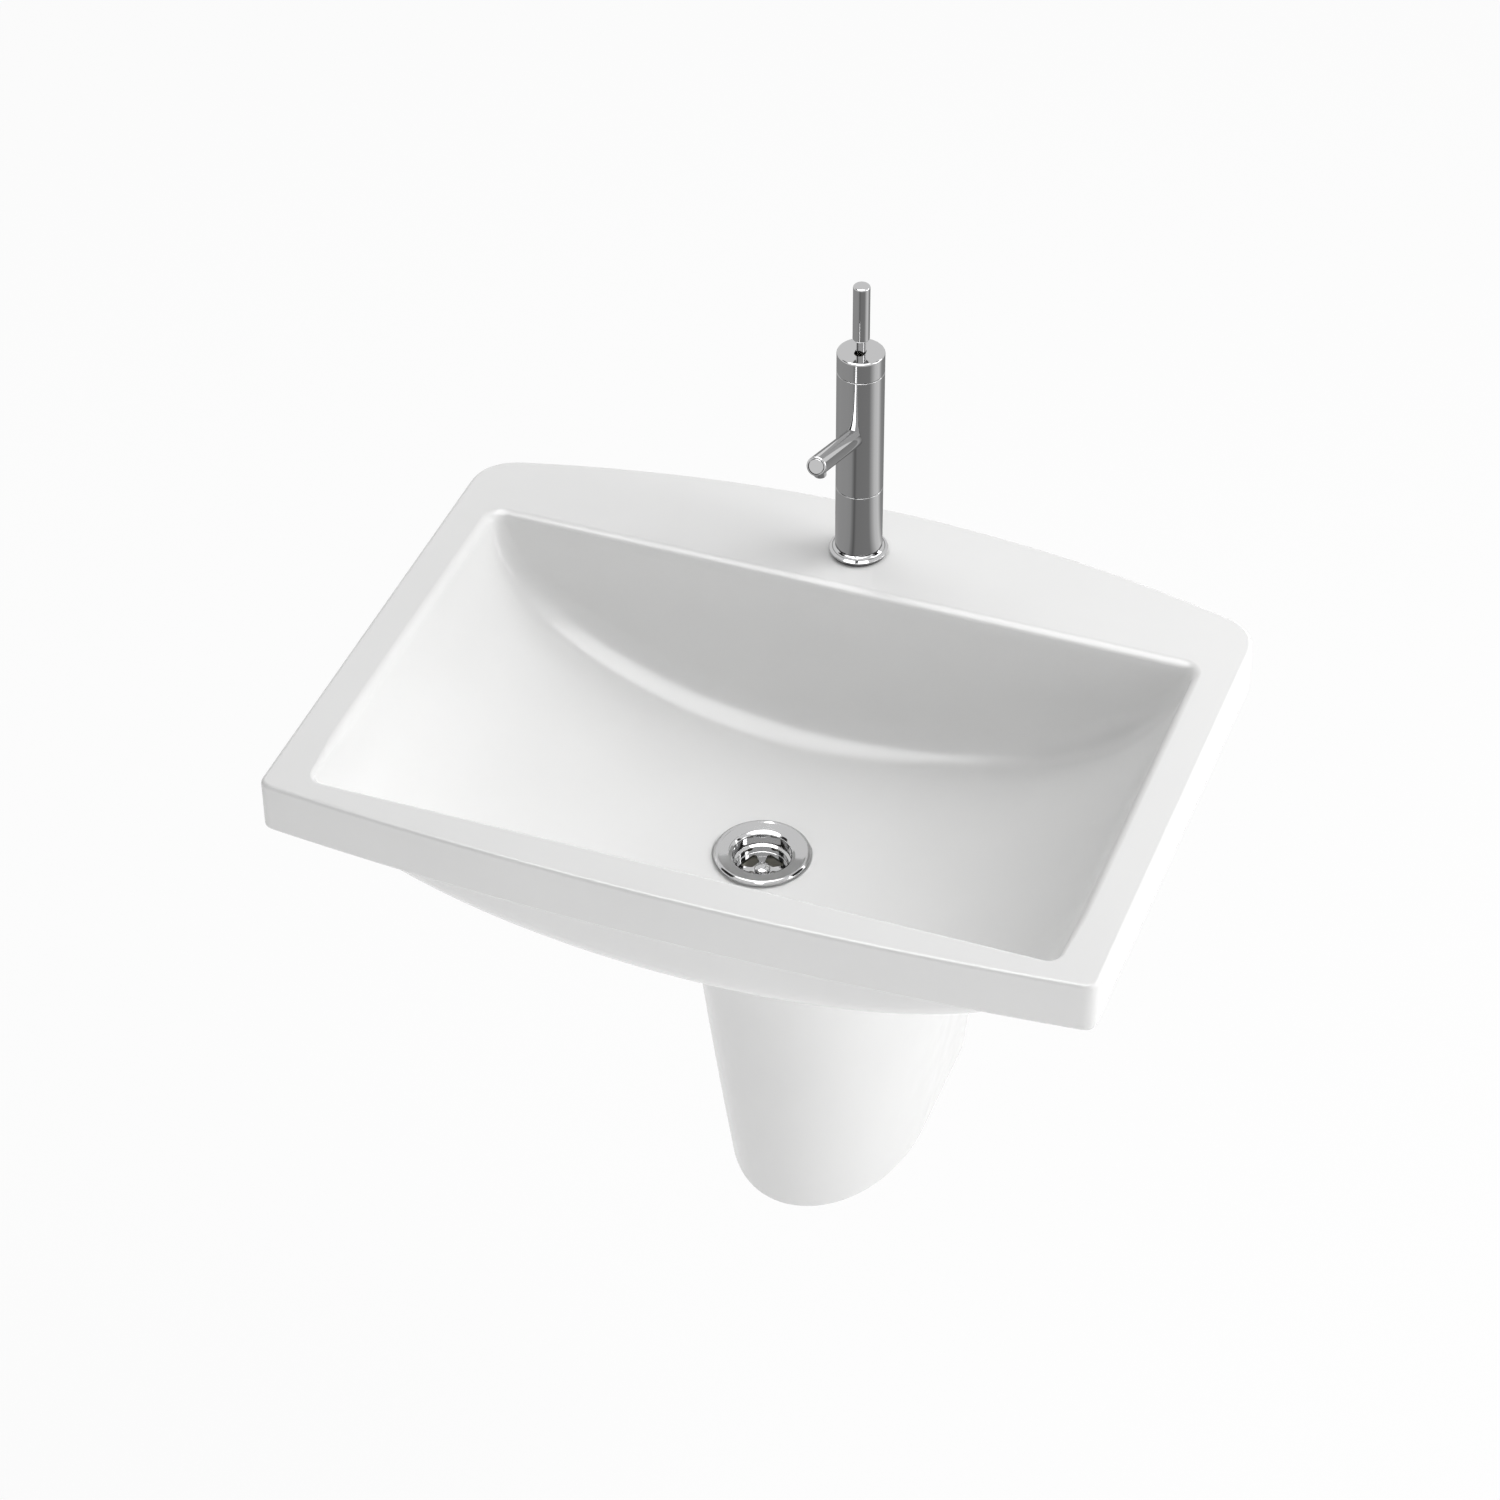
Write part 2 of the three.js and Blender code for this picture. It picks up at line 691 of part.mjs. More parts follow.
// ---- Wall fixings ----
// One stud with its bush, washer and nut, along Y, through a ceramic wall of the given thickness.
function wallFixing(prefix, side, x, z, wall, holeRadius, studRadius, inWall, out) {
  const group = groupAt(x, 0, z);
  const threadEnd = inWall * 0.75;
  const tip = studRadius * 0.35;
  const stud = turned([
    [0, -out], [studRadius, -out], [studRadius, threadEnd], [tip, inWall], [0, inWall]], coarse);
  const bore = studRadius + slip;
  const flangeRadius = holeRadius + bushCollar;
  const face = -wall - seat;
  const sleeve = holeRadius - slip;
  const bush = turned([
    [bore, -bushShort], [bore, face - bushFlange], [flangeRadius, face - bushFlange], [flangeRadius, face],
    [sleeve, face], [sleeve, -bushShort]], coarse);
  const washerHigh = face - bushFlange - seat;
  const washer = ring(flangeRadius - 2, bore, washerHigh - washerThickness, washerHigh, coarse);
  const nutHigh = washerHigh - washerThickness - seat;
  const nut = hexNut(studRadius * 3.4, bore, nutHigh - studRadius * 1.6, nutHigh, coarse);
  add(`${prefix}_stud_${side}`, alongY(stud), steel, group);
  add(`${prefix}_bush_${side}`, alongY(bush), nylon, group);
  add(`${prefix}_washer_${side}`, alongY(washer), steel, group);
  add(`${prefix}_nut_${side}`, alongY(nut), steel, group);
}

for (const [side, sign] of [['left', -1], ['right', 1]]) {
  wallFixing('basin', side, (sign * boltSpacing) / 2, 0, backPanel, boltHoleRadius,
    basinStudRadius, basinStudInWall, basinStudOut);
  wallFixing('pedestal', side, sign * lugX, pedestalBottomZ + lugHeight, lugThickness,
    lugHoleRadius, pedestalStudRadius, pedestalStudInWall, pedestalStudOut);
}

// ---- Tap ----
// Heights above the deck, from the gasket up.
const gasketTop = seat + tapGasketHeight;
const ringLow = gasketTop + seat;
const ringTop = ringLow + tapRingHeight;
const sleeveLow = ringTop + seat;
const sleeveTop = sleeveLow + sleeveHeight;
const bodyLow = sleeveTop + seat;
const bodyTop = bodyLow + bodyHeight;
const capLow = bodyTop + seat;
const capTop = capLow + capHeight;
const pivotZ = capTop - pivotBelowCap;
const cavityLow = bodyTop - cavityDepth;
const shoulderZ = bodyTop - seat - retainerHeight - seat;
const coreRadius = tapRadius - sleeveWall - slip;
const shankRadius = tapHoleRadius - shankWall;
const cartridgeRadius = cavityRadius - slip;
const cartridgeNeckRadius = cartridgeRadius - cartridgeNeck;
const retainerBore = cartridgeNeckRadius + slip;
const retainerRadius = retainerBore + retainerWall;
const capBore = retainerRadius;

// Three water ways at the cartridge's ports, between two heights.
function portCutters(low, high) {
  const inlet = disc(inletRadius, low, high, coarse);
  const outlet = disc(outletRadius, low, high, coarse);
  return [moved(inlet, inletX, inletY, 0), moved(inlet, -inletX, inletY, 0), moved(outlet, 0, outletY, 0)];
}

function alongSpout(geometry) {
  return geometry.clone().rotateX(Math.PI / 2 - spoutRise).translate(0, 0, spoutRootHeight);
}

const spoutLength = spoutReach / Math.cos(spoutRise);
const aeratorAt = spoutLength - aeratorFromEnd;
const aeratorY = -aeratorAt * Math.cos(spoutRise);
const aeratorAxisZ = spoutRootHeight + aeratorAt * Math.sin(spoutRise);
const aeratorLow = aeratorAxisZ - spoutRadius / Math.cos(spoutRise) - aeratorDrop;

function tapShank() {
  const hose = disc(hoseRadius, -shankLength - over, sleeveTop + over, coarse);
  const turnedShank = turned([
    [0, -shankLength], [shankRadius, -shankLength], [shankRadius, ringLow - seat],
    [coreRadius, ringLow - seat], [coreRadius, sleeveTop], [0, sleeveTop]], medium);
  return cut(turnedShank, moved(hose, hoseOffset, 0, 0), moved(hose, -hoseOffset, 0, 0));
}

function tapBody() {
  const column = disc(tapRadius, bodyLow, bodyTop, fine);
  const spout = turned([
    [0, 0], [spoutRadius, 0], [spoutRadius, spoutLength - spoutChamfer],
    [spoutRadius - spoutChamfer, spoutLength], [0, spoutLength]], medium);
  const wayStart = -outletY / Math.cos(spoutRise);
  const pocketLow = spoutLength - spoutPlugLength - seat;
  const plugPocket = disc(spoutPlugRadius + slip, pocketLow, spoutLength + over, medium);
  const aeratorHole = disc(aeratorRadius + slip, aeratorLow, aeratorAxisZ, coarse);
  const [inletRight, inletLeft, outlet] = portCutters(bodyLow - over, cavityLow + over);
  return cut(
    join(column, alongSpout(spout)),
    disc(cavityRadius, cavityLow, bodyTop + over, medium),
    disc(retainerRadius + slip, shoulderZ, bodyTop + over, medium),
    inletRight,
    inletLeft,
    common(outlet, block(-tapRadius, tapRadius, -tapRadius, tapRadius, spoutRootHeight, bodyTop)),
    alongSpout(disc(spoutBore, wayStart, spoutLength, coarse)),
    alongSpout(plugPocket),
    moved(aeratorHole, 0, aeratorY, 0));
}

// The hole in the cap lets the neck lean forward, so it is a short slot.
function tapCap() {
  const shell = turned([
    [0, capTop], [tapRadius - spoutChamfer, capTop], [tapRadius, capTop - spoutChamfer], [tapRadius, capLow],
    [capBore, capLow], [capBore, capTop - capPlate], [0, capTop - capPlate]], fine);
  const lean = (pivotBelowCap * Math.tan(leverTilt)) + neckRadius / Math.cos(leverTilt) - neckRadius;
  const radius = neckRadius + slip;
  const round = disc(radius, capTop - capPlate - over, capTop + over, coarse);
  const straight = block(-radius, radius, -lean, 0, capTop - capPlate - over, capTop + over);
  return cut(shell, round, straight, moved(round, 0, -lean, 0));
}

function lever() {
  const neckTop = capTop + neckLength;
  const top = neckTop + leverLength;
  const profile = [[0, pivotZ - stemLength], [stemRadius, pivotZ - stemLength]];
  const startAngle = -Math.acos(stemRadius / ballRadius);
  const endAngle = Math.acos(neckRadius / ballRadius);
  const steps = 5;
  for (let i = 0; i <= steps; i += 1) {
    const angle = startAngle + ((endAngle - startAngle) * i) / steps;
    profile.push([ballRadius * Math.cos(angle), pivotZ + ballRadius * Math.sin(angle)]);
  }
  profile.push(
    [neckRadius, neckTop], [leverRadius - leverChamfer, neckTop], [leverRadius, neckTop + leverChamfer],
    [leverRadius, top - leverChamfer], [leverRadius - leverChamfer, top], [0, top]);
  return turned(profile, medium);
}

function cartridgeHousing(low) {
  const floor = low + cartridgeFloor;
  const socketLow = pivotZ - ballRadius;
  const top = pivotZ + ballRadius / 3;
  const profile = [
    [0, low], [cartridgeRadius, low], [cartridgeRadius, shoulderZ], [cartridgeNeckRadius, shoulderZ],
    [cartridgeNeckRadius, top], [ballRadius + slip, top], [ballRadius + slip, pivotZ - ballRadius / 3],
    [ballRadius - slip, socketLow], [cartridgeBore, socketLow - seat], [cartridgeBore, floor], [0, floor]];
  return cut(turned(profile, medium), ...portCutters(low - over, floor + over));
}

function tap() {
  const deck = groupAt(0, tapY, rimZ);
  const under = -deckThickness - seat;
  const sealLow = under - tapSealHeight;
  const washerHigh = sealLow - seat;
  const nutHigh = washerHigh - washerThickness - seat;
  const throughBore = shankRadius + slip;
  const gasket = ring(tapRingRadius - 1, throughBore, seat, gasketTop, medium);
  const baseRing = turned([
    [coreRadius + slip, ringLow], [tapRingRadius, ringLow], [tapRingRadius, ringTop - 2.6],
    [tapRingRadius - 0.7, ringTop - 1.2], [tapRingRadius - 2.4, ringTop],
    [coreRadius + slip, ringTop]], fine);
  add('tap_base_gasket', gasket, rubber, deck);
  add('tap_base_ring', baseRing, chrome, deck);
  add('tap_shank', tapShank(), brass, deck);
  add('tap_deck_seal', ring(tapWasherRadius, throughBore, sealLow, under, medium), rubber, deck);
  const washer = ring(tapWasherRadius, throughBore, washerHigh - washerThickness, washerHigh, medium);
  add('tap_washer', washer, steel, deck);
  const fixingNut = hexNut(tapNutFlats, throughBore, nutHigh - tapNutHeight, nutHigh, medium);
  add('tap_fixing_nut', fixingNut, brass, deck);
  add('tap_sleeve', ring(tapRadius, tapRadius - sleeveWall, sleeveLow, sleeveTop, fine), chrome, deck);
  add('tap_body', tapBody(), chrome, deck);

  const plug = disc(spoutPlugRadius, spoutLength - spoutPlugLength, spoutLength, medium);
  add('spout_end_plug', alongSpout(plug), chrome, deck);
  const aerator = groupAt(0, tapY + aeratorY, rimZ);
  const shellTop = aeratorLow + aeratorDrop + spoutRadius - aeratorWall;
  const insertRadius = aeratorRadius - aeratorWall - slip;
  const aeratorShell = ring(aeratorRadius, aeratorRadius - aeratorWall, aeratorLow, shellTop, coarse);
  add('aerator_shell', aeratorShell, chrome, aerator);
  add('aerator_insert', ring(insertRadius, 1, aeratorLow + 0.6, shellTop - 1, coarse), nylon, aerator);

  const sealTop = cavityLow + seat + cartridgeSealHeight;
  const housingLow = sealTop + seat;
  const discLow = housingLow + cartridgeFloor + seat;
  const movingLow = discLow + discThickness + seat;
  const driverLow = movingLow + discThickness + seat;
  const driverTop = pivotZ - driverBelowPivot;
  const portSeal = cut(
    disc(cartridgeRadius - 1, cavityLow + seat, sealTop, coarse), ...portCutters(cavityLow, sealTop + over));
  const fixedDisc = cut(
    disc(cartridgeBore - slip, discLow, discLow + discThickness, coarse),
    ...portCutters(discLow - over, driverTop));
  const mixing = block(-inletX, inletX, outletY, inletY, movingLow - over, movingLow + discThickness / 2);
  const movingDisc = cut(disc(movingDiscRadius, movingLow, movingLow + discThickness, coarse), mixing);
  const pocketHalf = stemRadius + driverPlay;
  const pocketFloor = pivotZ - stemLength - 1;
  const pocketSide = stemRadius + seat;
  const pocket = block(-pocketSide, pocketSide, -pocketHalf, pocketHalf, pocketFloor, driverTop + over);
  const driver = cut(disc(driverRadius, driverLow, driverTop, coarse), pocket);
  const retainerLow = shoulderZ + seat;
  const retainer = ring(retainerRadius, retainerBore, retainerLow, retainerLow + retainerHeight, medium);
  add('cartridge_port_seal', portSeal, rubber, deck);
  add('cartridge_housing', cartridgeHousing(housingLow), nylon, deck);
  add('cartridge_fixed_disc', fixedDisc, discCeramic, deck);
  add('cartridge_retainer', retainer, brass, deck);
  add('cartridge_moving_disc', movingDisc, discCeramic, deck);
  add('cartridge_driver', driver, nylon, deck);
  add('tap_cap', tapCap(), chrome, deck);
  add('lever', lever(), chrome, deck);
}

// ---- Waste ----
// Heights over the bowl's floor at the waste.
const cupRadius = wasteHoleRadius - 2 * seat;
const lowerSealHigh = -ceramicWall - seat;
const bodyHigh = lowerSealHigh - lowerSealHeight - seat;
const tailEnd = bodyHigh - wasteBodyFlange - tailLength;
const bridgeTop = bodyHigh - wasteBodyFlange - bridgeDepth;

function wasteFlange() {
  const inner = cupRadius - wasteCupWall;
  const low = wasteSealHeight + 2 * seat;
  const strainerTop = -wasteCupDepth + strainerThickness;
  const hub = wasteScrewRadius + slip;
  const edge = wasteFlangeRadius;
  const top = wasteFlangeHeight;
  const profile = [
    [hub, -wasteCupDepth], [cupRadius, -wasteCupDepth], [cupRadius, low], [edge, low],
    [edge, top - 1.2], [edge - 0.9, top - 0.2], [edge - 2.4, top], [edge - 4, top - 0.7],
    [inner + 0.6, top - 2.2], [inner, top - 3.4], [inner, -wasteLedgeDepth + 1],
    [inner - wasteLedge, -wasteLedgeDepth], [inner - wasteLedge, strainerTop], [hub, strainerTop]];
  const hole = disc(strainerHoleRadius, -wasteCupDepth - over, strainerTop + over, coarse);
  const holes = [1, 3, 5, 7].map((eighth) => {
    const angle = (eighth * Math.PI) / 4;
    return moved(hole, strainerHoleOffset * Math.cos(angle), strainerHoleOffset * Math.sin(angle), 0);
  });
  return cut(turned(profile, fine), ...holes);
}

function wasteScrew() {
  const headLow = -wasteCupDepth + strainerThickness + seat;
  const tip = bridgeTop - bridgeHeight - over;
  const head = wasteScrewHeadRadius;
  return turned([
    [0, tip], [wasteScrewRadius, tip], [wasteScrewRadius, headLow], [head, headLow], [head, headLow + 1],
    [head * 0.75, headLow + wasteScrewHeadHeight * 0.8], [0, headLow + wasteScrewHeadHeight]], coarse);
}

function wasteBody() {
  const bore = tailRadius - tailWall;
  const shell = turned([
    [bore, tailEnd], [tailRadius, tailEnd], [tailRadius, bodyHigh - wasteBodyFlange],
    [wasteBodyRadius, bodyHigh - wasteBodyFlange], [wasteBodyRadius, bodyHigh], [bore, bodyHigh]], medium);
  const low = bridgeTop - bridgeHeight;
  const bar = block(-bore - 1, bore + 1, -bridgeHeight / 2, bridgeHeight / 2, low, bridgeTop);
  const hub = disc(bridgeHub, low, bridgeTop, coarse);
  const thread = disc(wasteScrewRadius + slip, low - over, bridgeTop + over, coarse);
  return cut(join(shell, bar, hub), thread);
}

function waste() {
  const bowl = groupAt(0, wasteY, floorZ);
  const sealBore = cupRadius + slip;
  add('waste_flange', wasteFlange(), chrome, bowl);
  const flangeSeal = ring(wasteFlangeRadius - 2, sealBore, seat, seat + wasteSealHeight, medium);
  add('waste_flange_seal', flangeSeal, rubber, bowl);
  add('waste_screw', wasteScrew(), chrome, bowl);
  const lowerSealLow = lowerSealHigh - lowerSealHeight;
  const lowerSeal = ring(wasteBodyRadius - 1, sealBore, lowerSealLow, lowerSealHigh, medium);
  add('waste_lower_seal', lowerSeal, rubber, bowl);
  add('waste_body', wasteBody(), nylon, bowl);
}

// ---- Trap ----
// Heights over the row's origin.
const tailEndZ = floorZ + tailEnd;
const pipeTopZ = tailEndZ - 2 * seat - sealThickness;
const collarZ = pipeTopZ - pipeStraight - 2 * pipeBend - sealThickness - unionLip;
const shoulderTrapZ = collarZ - trapCollarHeight;
const outletZ = shoulderTrapZ - trapOutletDrop;
const trapY = -trapFromWall;
const unionBore = tailRadius + slip;
const unionRadius = unionBore + unionWall;
const pipeCollarRadius = tailRadius - slip;

// A quarter bend from one place to another, leaving along the first axis and arriving along the second.
function quarterBend(from, to, corner) {
  const pull = 0.5523;
  const handle = (end) => end.clone().lerp(corner, pull);
  return new THREE.CubicBezierCurve3(from, handle(from), handle(to), to);
}

function inletPipe() {
  const at = (y, z) => new THREE.Vector3(0, y, z);
  const bendTop = pipeTopZ - pipeStraight;
  const runZ = bendTop - pipeBend;
  const path = new THREE.CurvePath();
  path.add(new THREE.LineCurve3(at(wasteY, bendTop + seat), at(wasteY, bendTop)));
  path.add(quarterBend(at(wasteY, bendTop), at(wasteY + pipeBend, runZ), at(wasteY, runZ)));
  path.add(new THREE.LineCurve3(at(wasteY + pipeBend, runZ), at(trapY - pipeBend, runZ)));
  path.add(quarterBend(at(trapY - pipeBend, runZ), at(trapY, runZ - pipeBend), at(trapY, runZ)));
  path.add(new THREE.LineCurve3(at(trapY, runZ - pipeBend), at(trapY, outletZ - dipBelowOutlet)));
  const bore = pipeRadius - pipeWall;
  const neck = turned([
    [bore, bendTop], [pipeRadius, bendTop], [pipeRadius, pipeTopZ - pipeCollar],
    [pipeCollarRadius, pipeTopZ - pipeCollar], [pipeCollarRadius, pipeTopZ], [bore, pipeTopZ]], medium);
  return join(pipe(path, pipeRadius, pipeWall, 15), moved(neck, 0, wasteY, 0));
}

// A union nut about +Z: its lip is at the low end.
function unionNut(low) {
  const lipBore = pipeRadius + slip;
  const lipTop = low + unionLip;
  return turned([
    [lipBore, low], [unionRadius - 1, low], [unionRadius, low + 1], [unionRadius, low + unionLength],
    [unionBore, low + unionLength], [unionBore, lipTop], [lipBore, lipTop]], medium);
}

function trapBody() {
  const bottom = shoulderTrapZ - trapBodyHeight;
  const threadRadius = trapRadius - trapWall;
  const bore = threadRadius - trapWall;
  const shell = turned([
    [bore, bottom - trapThreadHeight], [threadRadius, bottom - trapThreadHeight], [threadRadius, bottom],
    [trapRadius, bottom], [trapRadius, shoulderTrapZ - trapWall], [trapRadius - trapWall, shoulderTrapZ],
    [tailRadius, shoulderTrapZ], [tailRadius, collarZ], [pipeRadius + slip, collarZ],
    [pipeRadius + slip, shoulderTrapZ - trapWall], [bore, shoulderTrapZ - trapWall]], medium);
  const collarEnd = trapRadius + trapOutletCollar;
  const collar = alongY(disc(tailRadius, trapRadius - 2 * trapWall, collarEnd, medium));
  const way = alongY(disc(pipeRadius + slip, 0, collarEnd + over, medium));
  const keep = disc(bore, bottom - trapThreadHeight, shoulderTrapZ - trapWall, medium);
  return cut(join(shell, cut(moved(collar, 0, 0, outletZ), keep)), moved(way, 0, 0, outletZ));
}

function trapCup() {
  const top = shoulderTrapZ - trapBodyHeight - sealThickness / 2 - 2 * seat;
  const bottom = top - trapCupDepth;
  const threadBore = trapRadius - trapWall + slip;
  const inner = trapRadius - trapWall - slip;
  const threadEnd = shoulderTrapZ - trapBodyHeight - trapThreadHeight - over;
  const side = bottom + trapCupRounding;
  const flat = trapRadius - trapCupRounding;
  return turned([
    [0, bottom], [flat, bottom], [trapRadius - trapCupRounding * 0.3, bottom + trapCupRounding * 0.3],
    [trapRadius, side], [trapRadius, top], [threadBore, top], [threadBore, threadEnd], [inner, threadEnd - 1],
    [inner, side], [flat, bottom + trapWall], [0, bottom + trapWall]], medium);
}

function trap() {
  const inlet = groupAt(0, wasteY, 0);
  const bottle = groupAt(0, trapY, 0);
  const outlet = groupAt(0, trapY, outletZ);
  const tailSealTop = tailEndZ - seat;
  const tailSeal = ring(pipeCollarRadius, pipeRadius, tailSealTop - sealThickness, tailSealTop, medium);
  add('trap_tail_seal', tailSeal, rubber, inlet);
  add('trap_tail_nut', unionNut(pipeTopZ - pipeCollar - seat - unionLip), chrome, inlet);
  add('trap_inlet_pipe', inletPipe(), chrome);

  const slipSealLow = collarZ + seat;
  const slipSealHigh = slipSealLow + sealThickness;
  const slipSeal = ring(pipeCollarRadius, pipeRadius + slip, slipSealLow, slipSealHigh, medium);
  const slipNut = unionNut(0).rotateX(Math.PI);
  const slipNutTop = slipSealHigh + seat + unionLip;
  add('trap_slip_seal', slipSeal, rubber, bottle);
  add('trap_slip_nut', moved(slipNut, 0, 0, slipNutTop), chrome, bottle);
  add('trap_body', trapBody(), chrome, bottle);
  const cupSealTop = shoulderTrapZ - trapBodyHeight - seat;
  const cupSealLow = cupSealTop - sealThickness / 2;
  const cupSeal = ring(trapRadius - 0.5, trapRadius - trapWall + slip, cupSealLow, cupSealTop, medium);
  add('trap_cup_seal', cupSeal, rubber, bottle);
  add('trap_cup', trapCup(), chrome, bottle);

  const collarEnd = trapRadius + trapOutletCollar;
  const outletSealLow = collarEnd + seat;
  const outletSealHigh = outletSealLow + sealThickness;
  const outletSeal = ring(pipeCollarRadius, pipeRadius + slip, outletSealLow, outletSealHigh, medium);
  const outletNut = moved(slipNut, 0, 0, outletSealHigh + seat + unionLip);
  const pipeLength = trapFromWall + outletInWall;
  const outletPipe = ring(pipeRadius, pipeRadius - pipeWall, trapRadius, pipeLength, medium);
  const wall = trapFromWall - seat;
  const rosetteBore = pipeRadius + slip;
  const rosette = turned([
    [rosetteBore, wall - rosetteHeight], [rosetteBore + rosettePlate, wall - rosetteHeight],
    [rosetteBore + 2 * rosettePlate, wall - 2 * rosettePlate],
    [rosetteRadius - rosettePlate, wall - rosettePlate], [rosetteRadius, wall], [rosetteBore, wall]], medium);
  add('trap_outlet_seal', alongY(outletSeal), rubber, outlet);
  add('trap_outlet_nut', alongY(outletNut), chrome, outlet);
  add('trap_outlet_pipe', alongY(outletPipe), chrome, outlet);
  add('wall_rosette', alongY(rosette), chrome, outlet);
}

tap();
waste();
trap();

export default part;
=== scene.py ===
"""Looks of a wall-hung washbasin with a half pedestal, a joystick tap, a strainer waste and a trap.

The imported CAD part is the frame. Forms are built in millimetres, in the part's own frame: X to the right,
Y into the wall, Z up, with the origin on the wall at the height of the basin's bolts.
"""

import json
from functools import partial
from math import acos, asin, cos, pi, radians, sin, sqrt, tan

import bmesh
import bpy
import numpy as np
from mathutils import Matrix, Vector

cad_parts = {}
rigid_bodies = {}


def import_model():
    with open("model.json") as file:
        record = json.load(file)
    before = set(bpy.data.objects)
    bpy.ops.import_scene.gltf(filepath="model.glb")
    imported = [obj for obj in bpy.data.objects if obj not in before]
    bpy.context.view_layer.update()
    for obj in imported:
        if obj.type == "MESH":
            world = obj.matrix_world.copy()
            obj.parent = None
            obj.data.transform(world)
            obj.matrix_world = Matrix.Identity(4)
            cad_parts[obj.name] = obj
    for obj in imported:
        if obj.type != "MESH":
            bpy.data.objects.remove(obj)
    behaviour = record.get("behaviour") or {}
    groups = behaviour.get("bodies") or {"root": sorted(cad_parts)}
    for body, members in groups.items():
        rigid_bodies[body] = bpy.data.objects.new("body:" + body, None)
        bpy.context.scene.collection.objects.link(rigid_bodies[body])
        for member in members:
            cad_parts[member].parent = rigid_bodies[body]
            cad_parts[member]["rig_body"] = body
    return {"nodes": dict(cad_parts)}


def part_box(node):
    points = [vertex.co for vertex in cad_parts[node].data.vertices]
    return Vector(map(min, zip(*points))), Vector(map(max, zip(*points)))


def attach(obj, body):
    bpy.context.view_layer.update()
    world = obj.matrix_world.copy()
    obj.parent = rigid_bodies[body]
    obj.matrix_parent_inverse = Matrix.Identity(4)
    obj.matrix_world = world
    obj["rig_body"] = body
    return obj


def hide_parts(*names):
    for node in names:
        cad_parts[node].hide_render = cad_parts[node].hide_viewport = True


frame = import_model()
NODES = frame["nodes"]
bpy.context.view_layer.update()

MM = 0.001
ALONG_Y = Matrix.Rotation(-pi / 2, 4, "X")  # a piece made along +Z, laid along +Y
FINE_ROUND = 128  # segments of the turned pieces that show most
ROUND = 96
SMALL_ROUND = 48
CREASE = radians(32)  # edges sharper than this stay crisp
OVER = 2.0  # how far a cutter runs past the face it opens
SEAT = 0.3  # gap between two faces that seat on each other
SLIP = 0.4  # gap round a piece that passes through a hole


def corners(node):
    """Lowest and highest corner of a CAD node, in millimetres."""
    low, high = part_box(node)
    return np.array(low) / MM, np.array(high) / MM


def span(node, axis=2):
    """Lowest and highest place of a CAD node along an axis; 2 is Z."""
    low, high = corners(node)
    return low[axis], high[axis]


def middle(node):
    return sum(corners(node)) / 2


def radius_of(node):
    """Radius of a turned CAD node about Z, from its box."""
    low, high = corners(node)
    return max(high[:2] - low[:2]) / 2


# ---- Driving sizes ----
BASIN_LOW, BASIN_HIGH = corners("basin")
HALF_WIDTH = BASIN_HIGH[0]
RIM_Z = BASIN_HIGH[2]
UNDERSIDE_Z = BASIN_LOW[2]
FRONT_BOW = 15.5
BACK_BOW = 45.5
FRONT_CORNER_Y = BASIN_LOW[1] + FRONT_BOW
BACK_CORNER_Y = -BACK_BOW
FRONT_CORNER_RADIUS = 9.0
BACK_CORNER_RADIUS = 28.0
EDGE_RADIUS = 3.0
APRON_HEIGHT = 40.4
APRON_WALL = 12.0
DECK = 12.0
CERAMIC_WALL = 13.0

BOWL_HALF = 268.0
BOWL_BACK_Y = -102.0
BOWL_FRONT_Y = FRONT_CORNER_Y + 16.0
BOWL_DEPTH = RIM_Z - UNDERSIDE_Z - CERAMIC_WALL
FLOOR_Z = RIM_Z - BOWL_DEPTH
BACK_LEAN = radians(12)
FRONT_LEAN = radians(12)
BOWL_CORNER_RADIUS = 9.0
FOOT_RADIUS = 22.0
RIM_RADIUS = 7.0
FRONT_RIM_RADIUS = 3.0
RIM_EASE = 60.0  # run from the front over which the rim grows rounder
FLOOR_FLAT = 38.0
BACK_FLOOR_RISE = 0.15
FRONT_FLOOR_RISE = 0.09
FLOOR_EASE = 20.0  # run over which the rise sets in

BACK_HALF = 170.0
BACK_PANEL = 12.0
CHAMBER_SIDE_WALL = 12.0
BOLT_HOLE_RADIUS = 7.5

PEDESTAL_LOW = corners("semi_pedestal")[0]
PEDESTAL_HEIGHT = UNDERSIDE_Z - PEDESTAL_LOW[2]
PEDESTAL_WALL = 10.0
FOOT_HALF_WIDTH = 74.5
STRAIGHT_DEPTH = 100.0
FOOT_DEPTH = 213.0
SLOPE = 0.18
SPREAD = 0.122
SPREAD_EASE = 0.000093
FLARE_START = 230.0
FLARE = 0.0017
PEDESTAL_LIP = 3.0
LUG_HALF_WIDTH = 15.0
LUG_TALL = 46.0
LUG_THICKNESS = 12.0
LUG_HOLE_RADIUS = 6.0
LUG_CORNER = 4.0
LUG_EDGE = 1.5

TAP_Y = middle("tap_sleeve")[1]
TAP_RADIUS = radius_of("tap_sleeve")
TAP_HOLE_RADIUS = 17.5
WASTE_Y = middle("waste_screw")[1]
WASTE_HOLE_RADIUS = 23.0
WASTE_FLANGE_RADIUS = radius_of("waste_flange")


# ---- Mesh tools ----
def new_object(name, data):
    obj = bpy.data.objects.new(name, data)
    bpy.context.scene.collection.objects.link(obj)
    return obj


def add_mesh(name, points, faces):
    """A mesh object from points in millimetres, its faces turned outward."""
    mesh = bpy.data.meshes.new(name)
    mesh.from_pydata((np.asarray(points, float) * MM).tolist(), [], faces)
    work = bmesh.new()
    work.from_mesh(mesh)
    bmesh.ops.recalc_face_normals(work, faces=work.faces)
    work.to_mesh(mesh)
    work.free()
    return new_object(name, mesh)


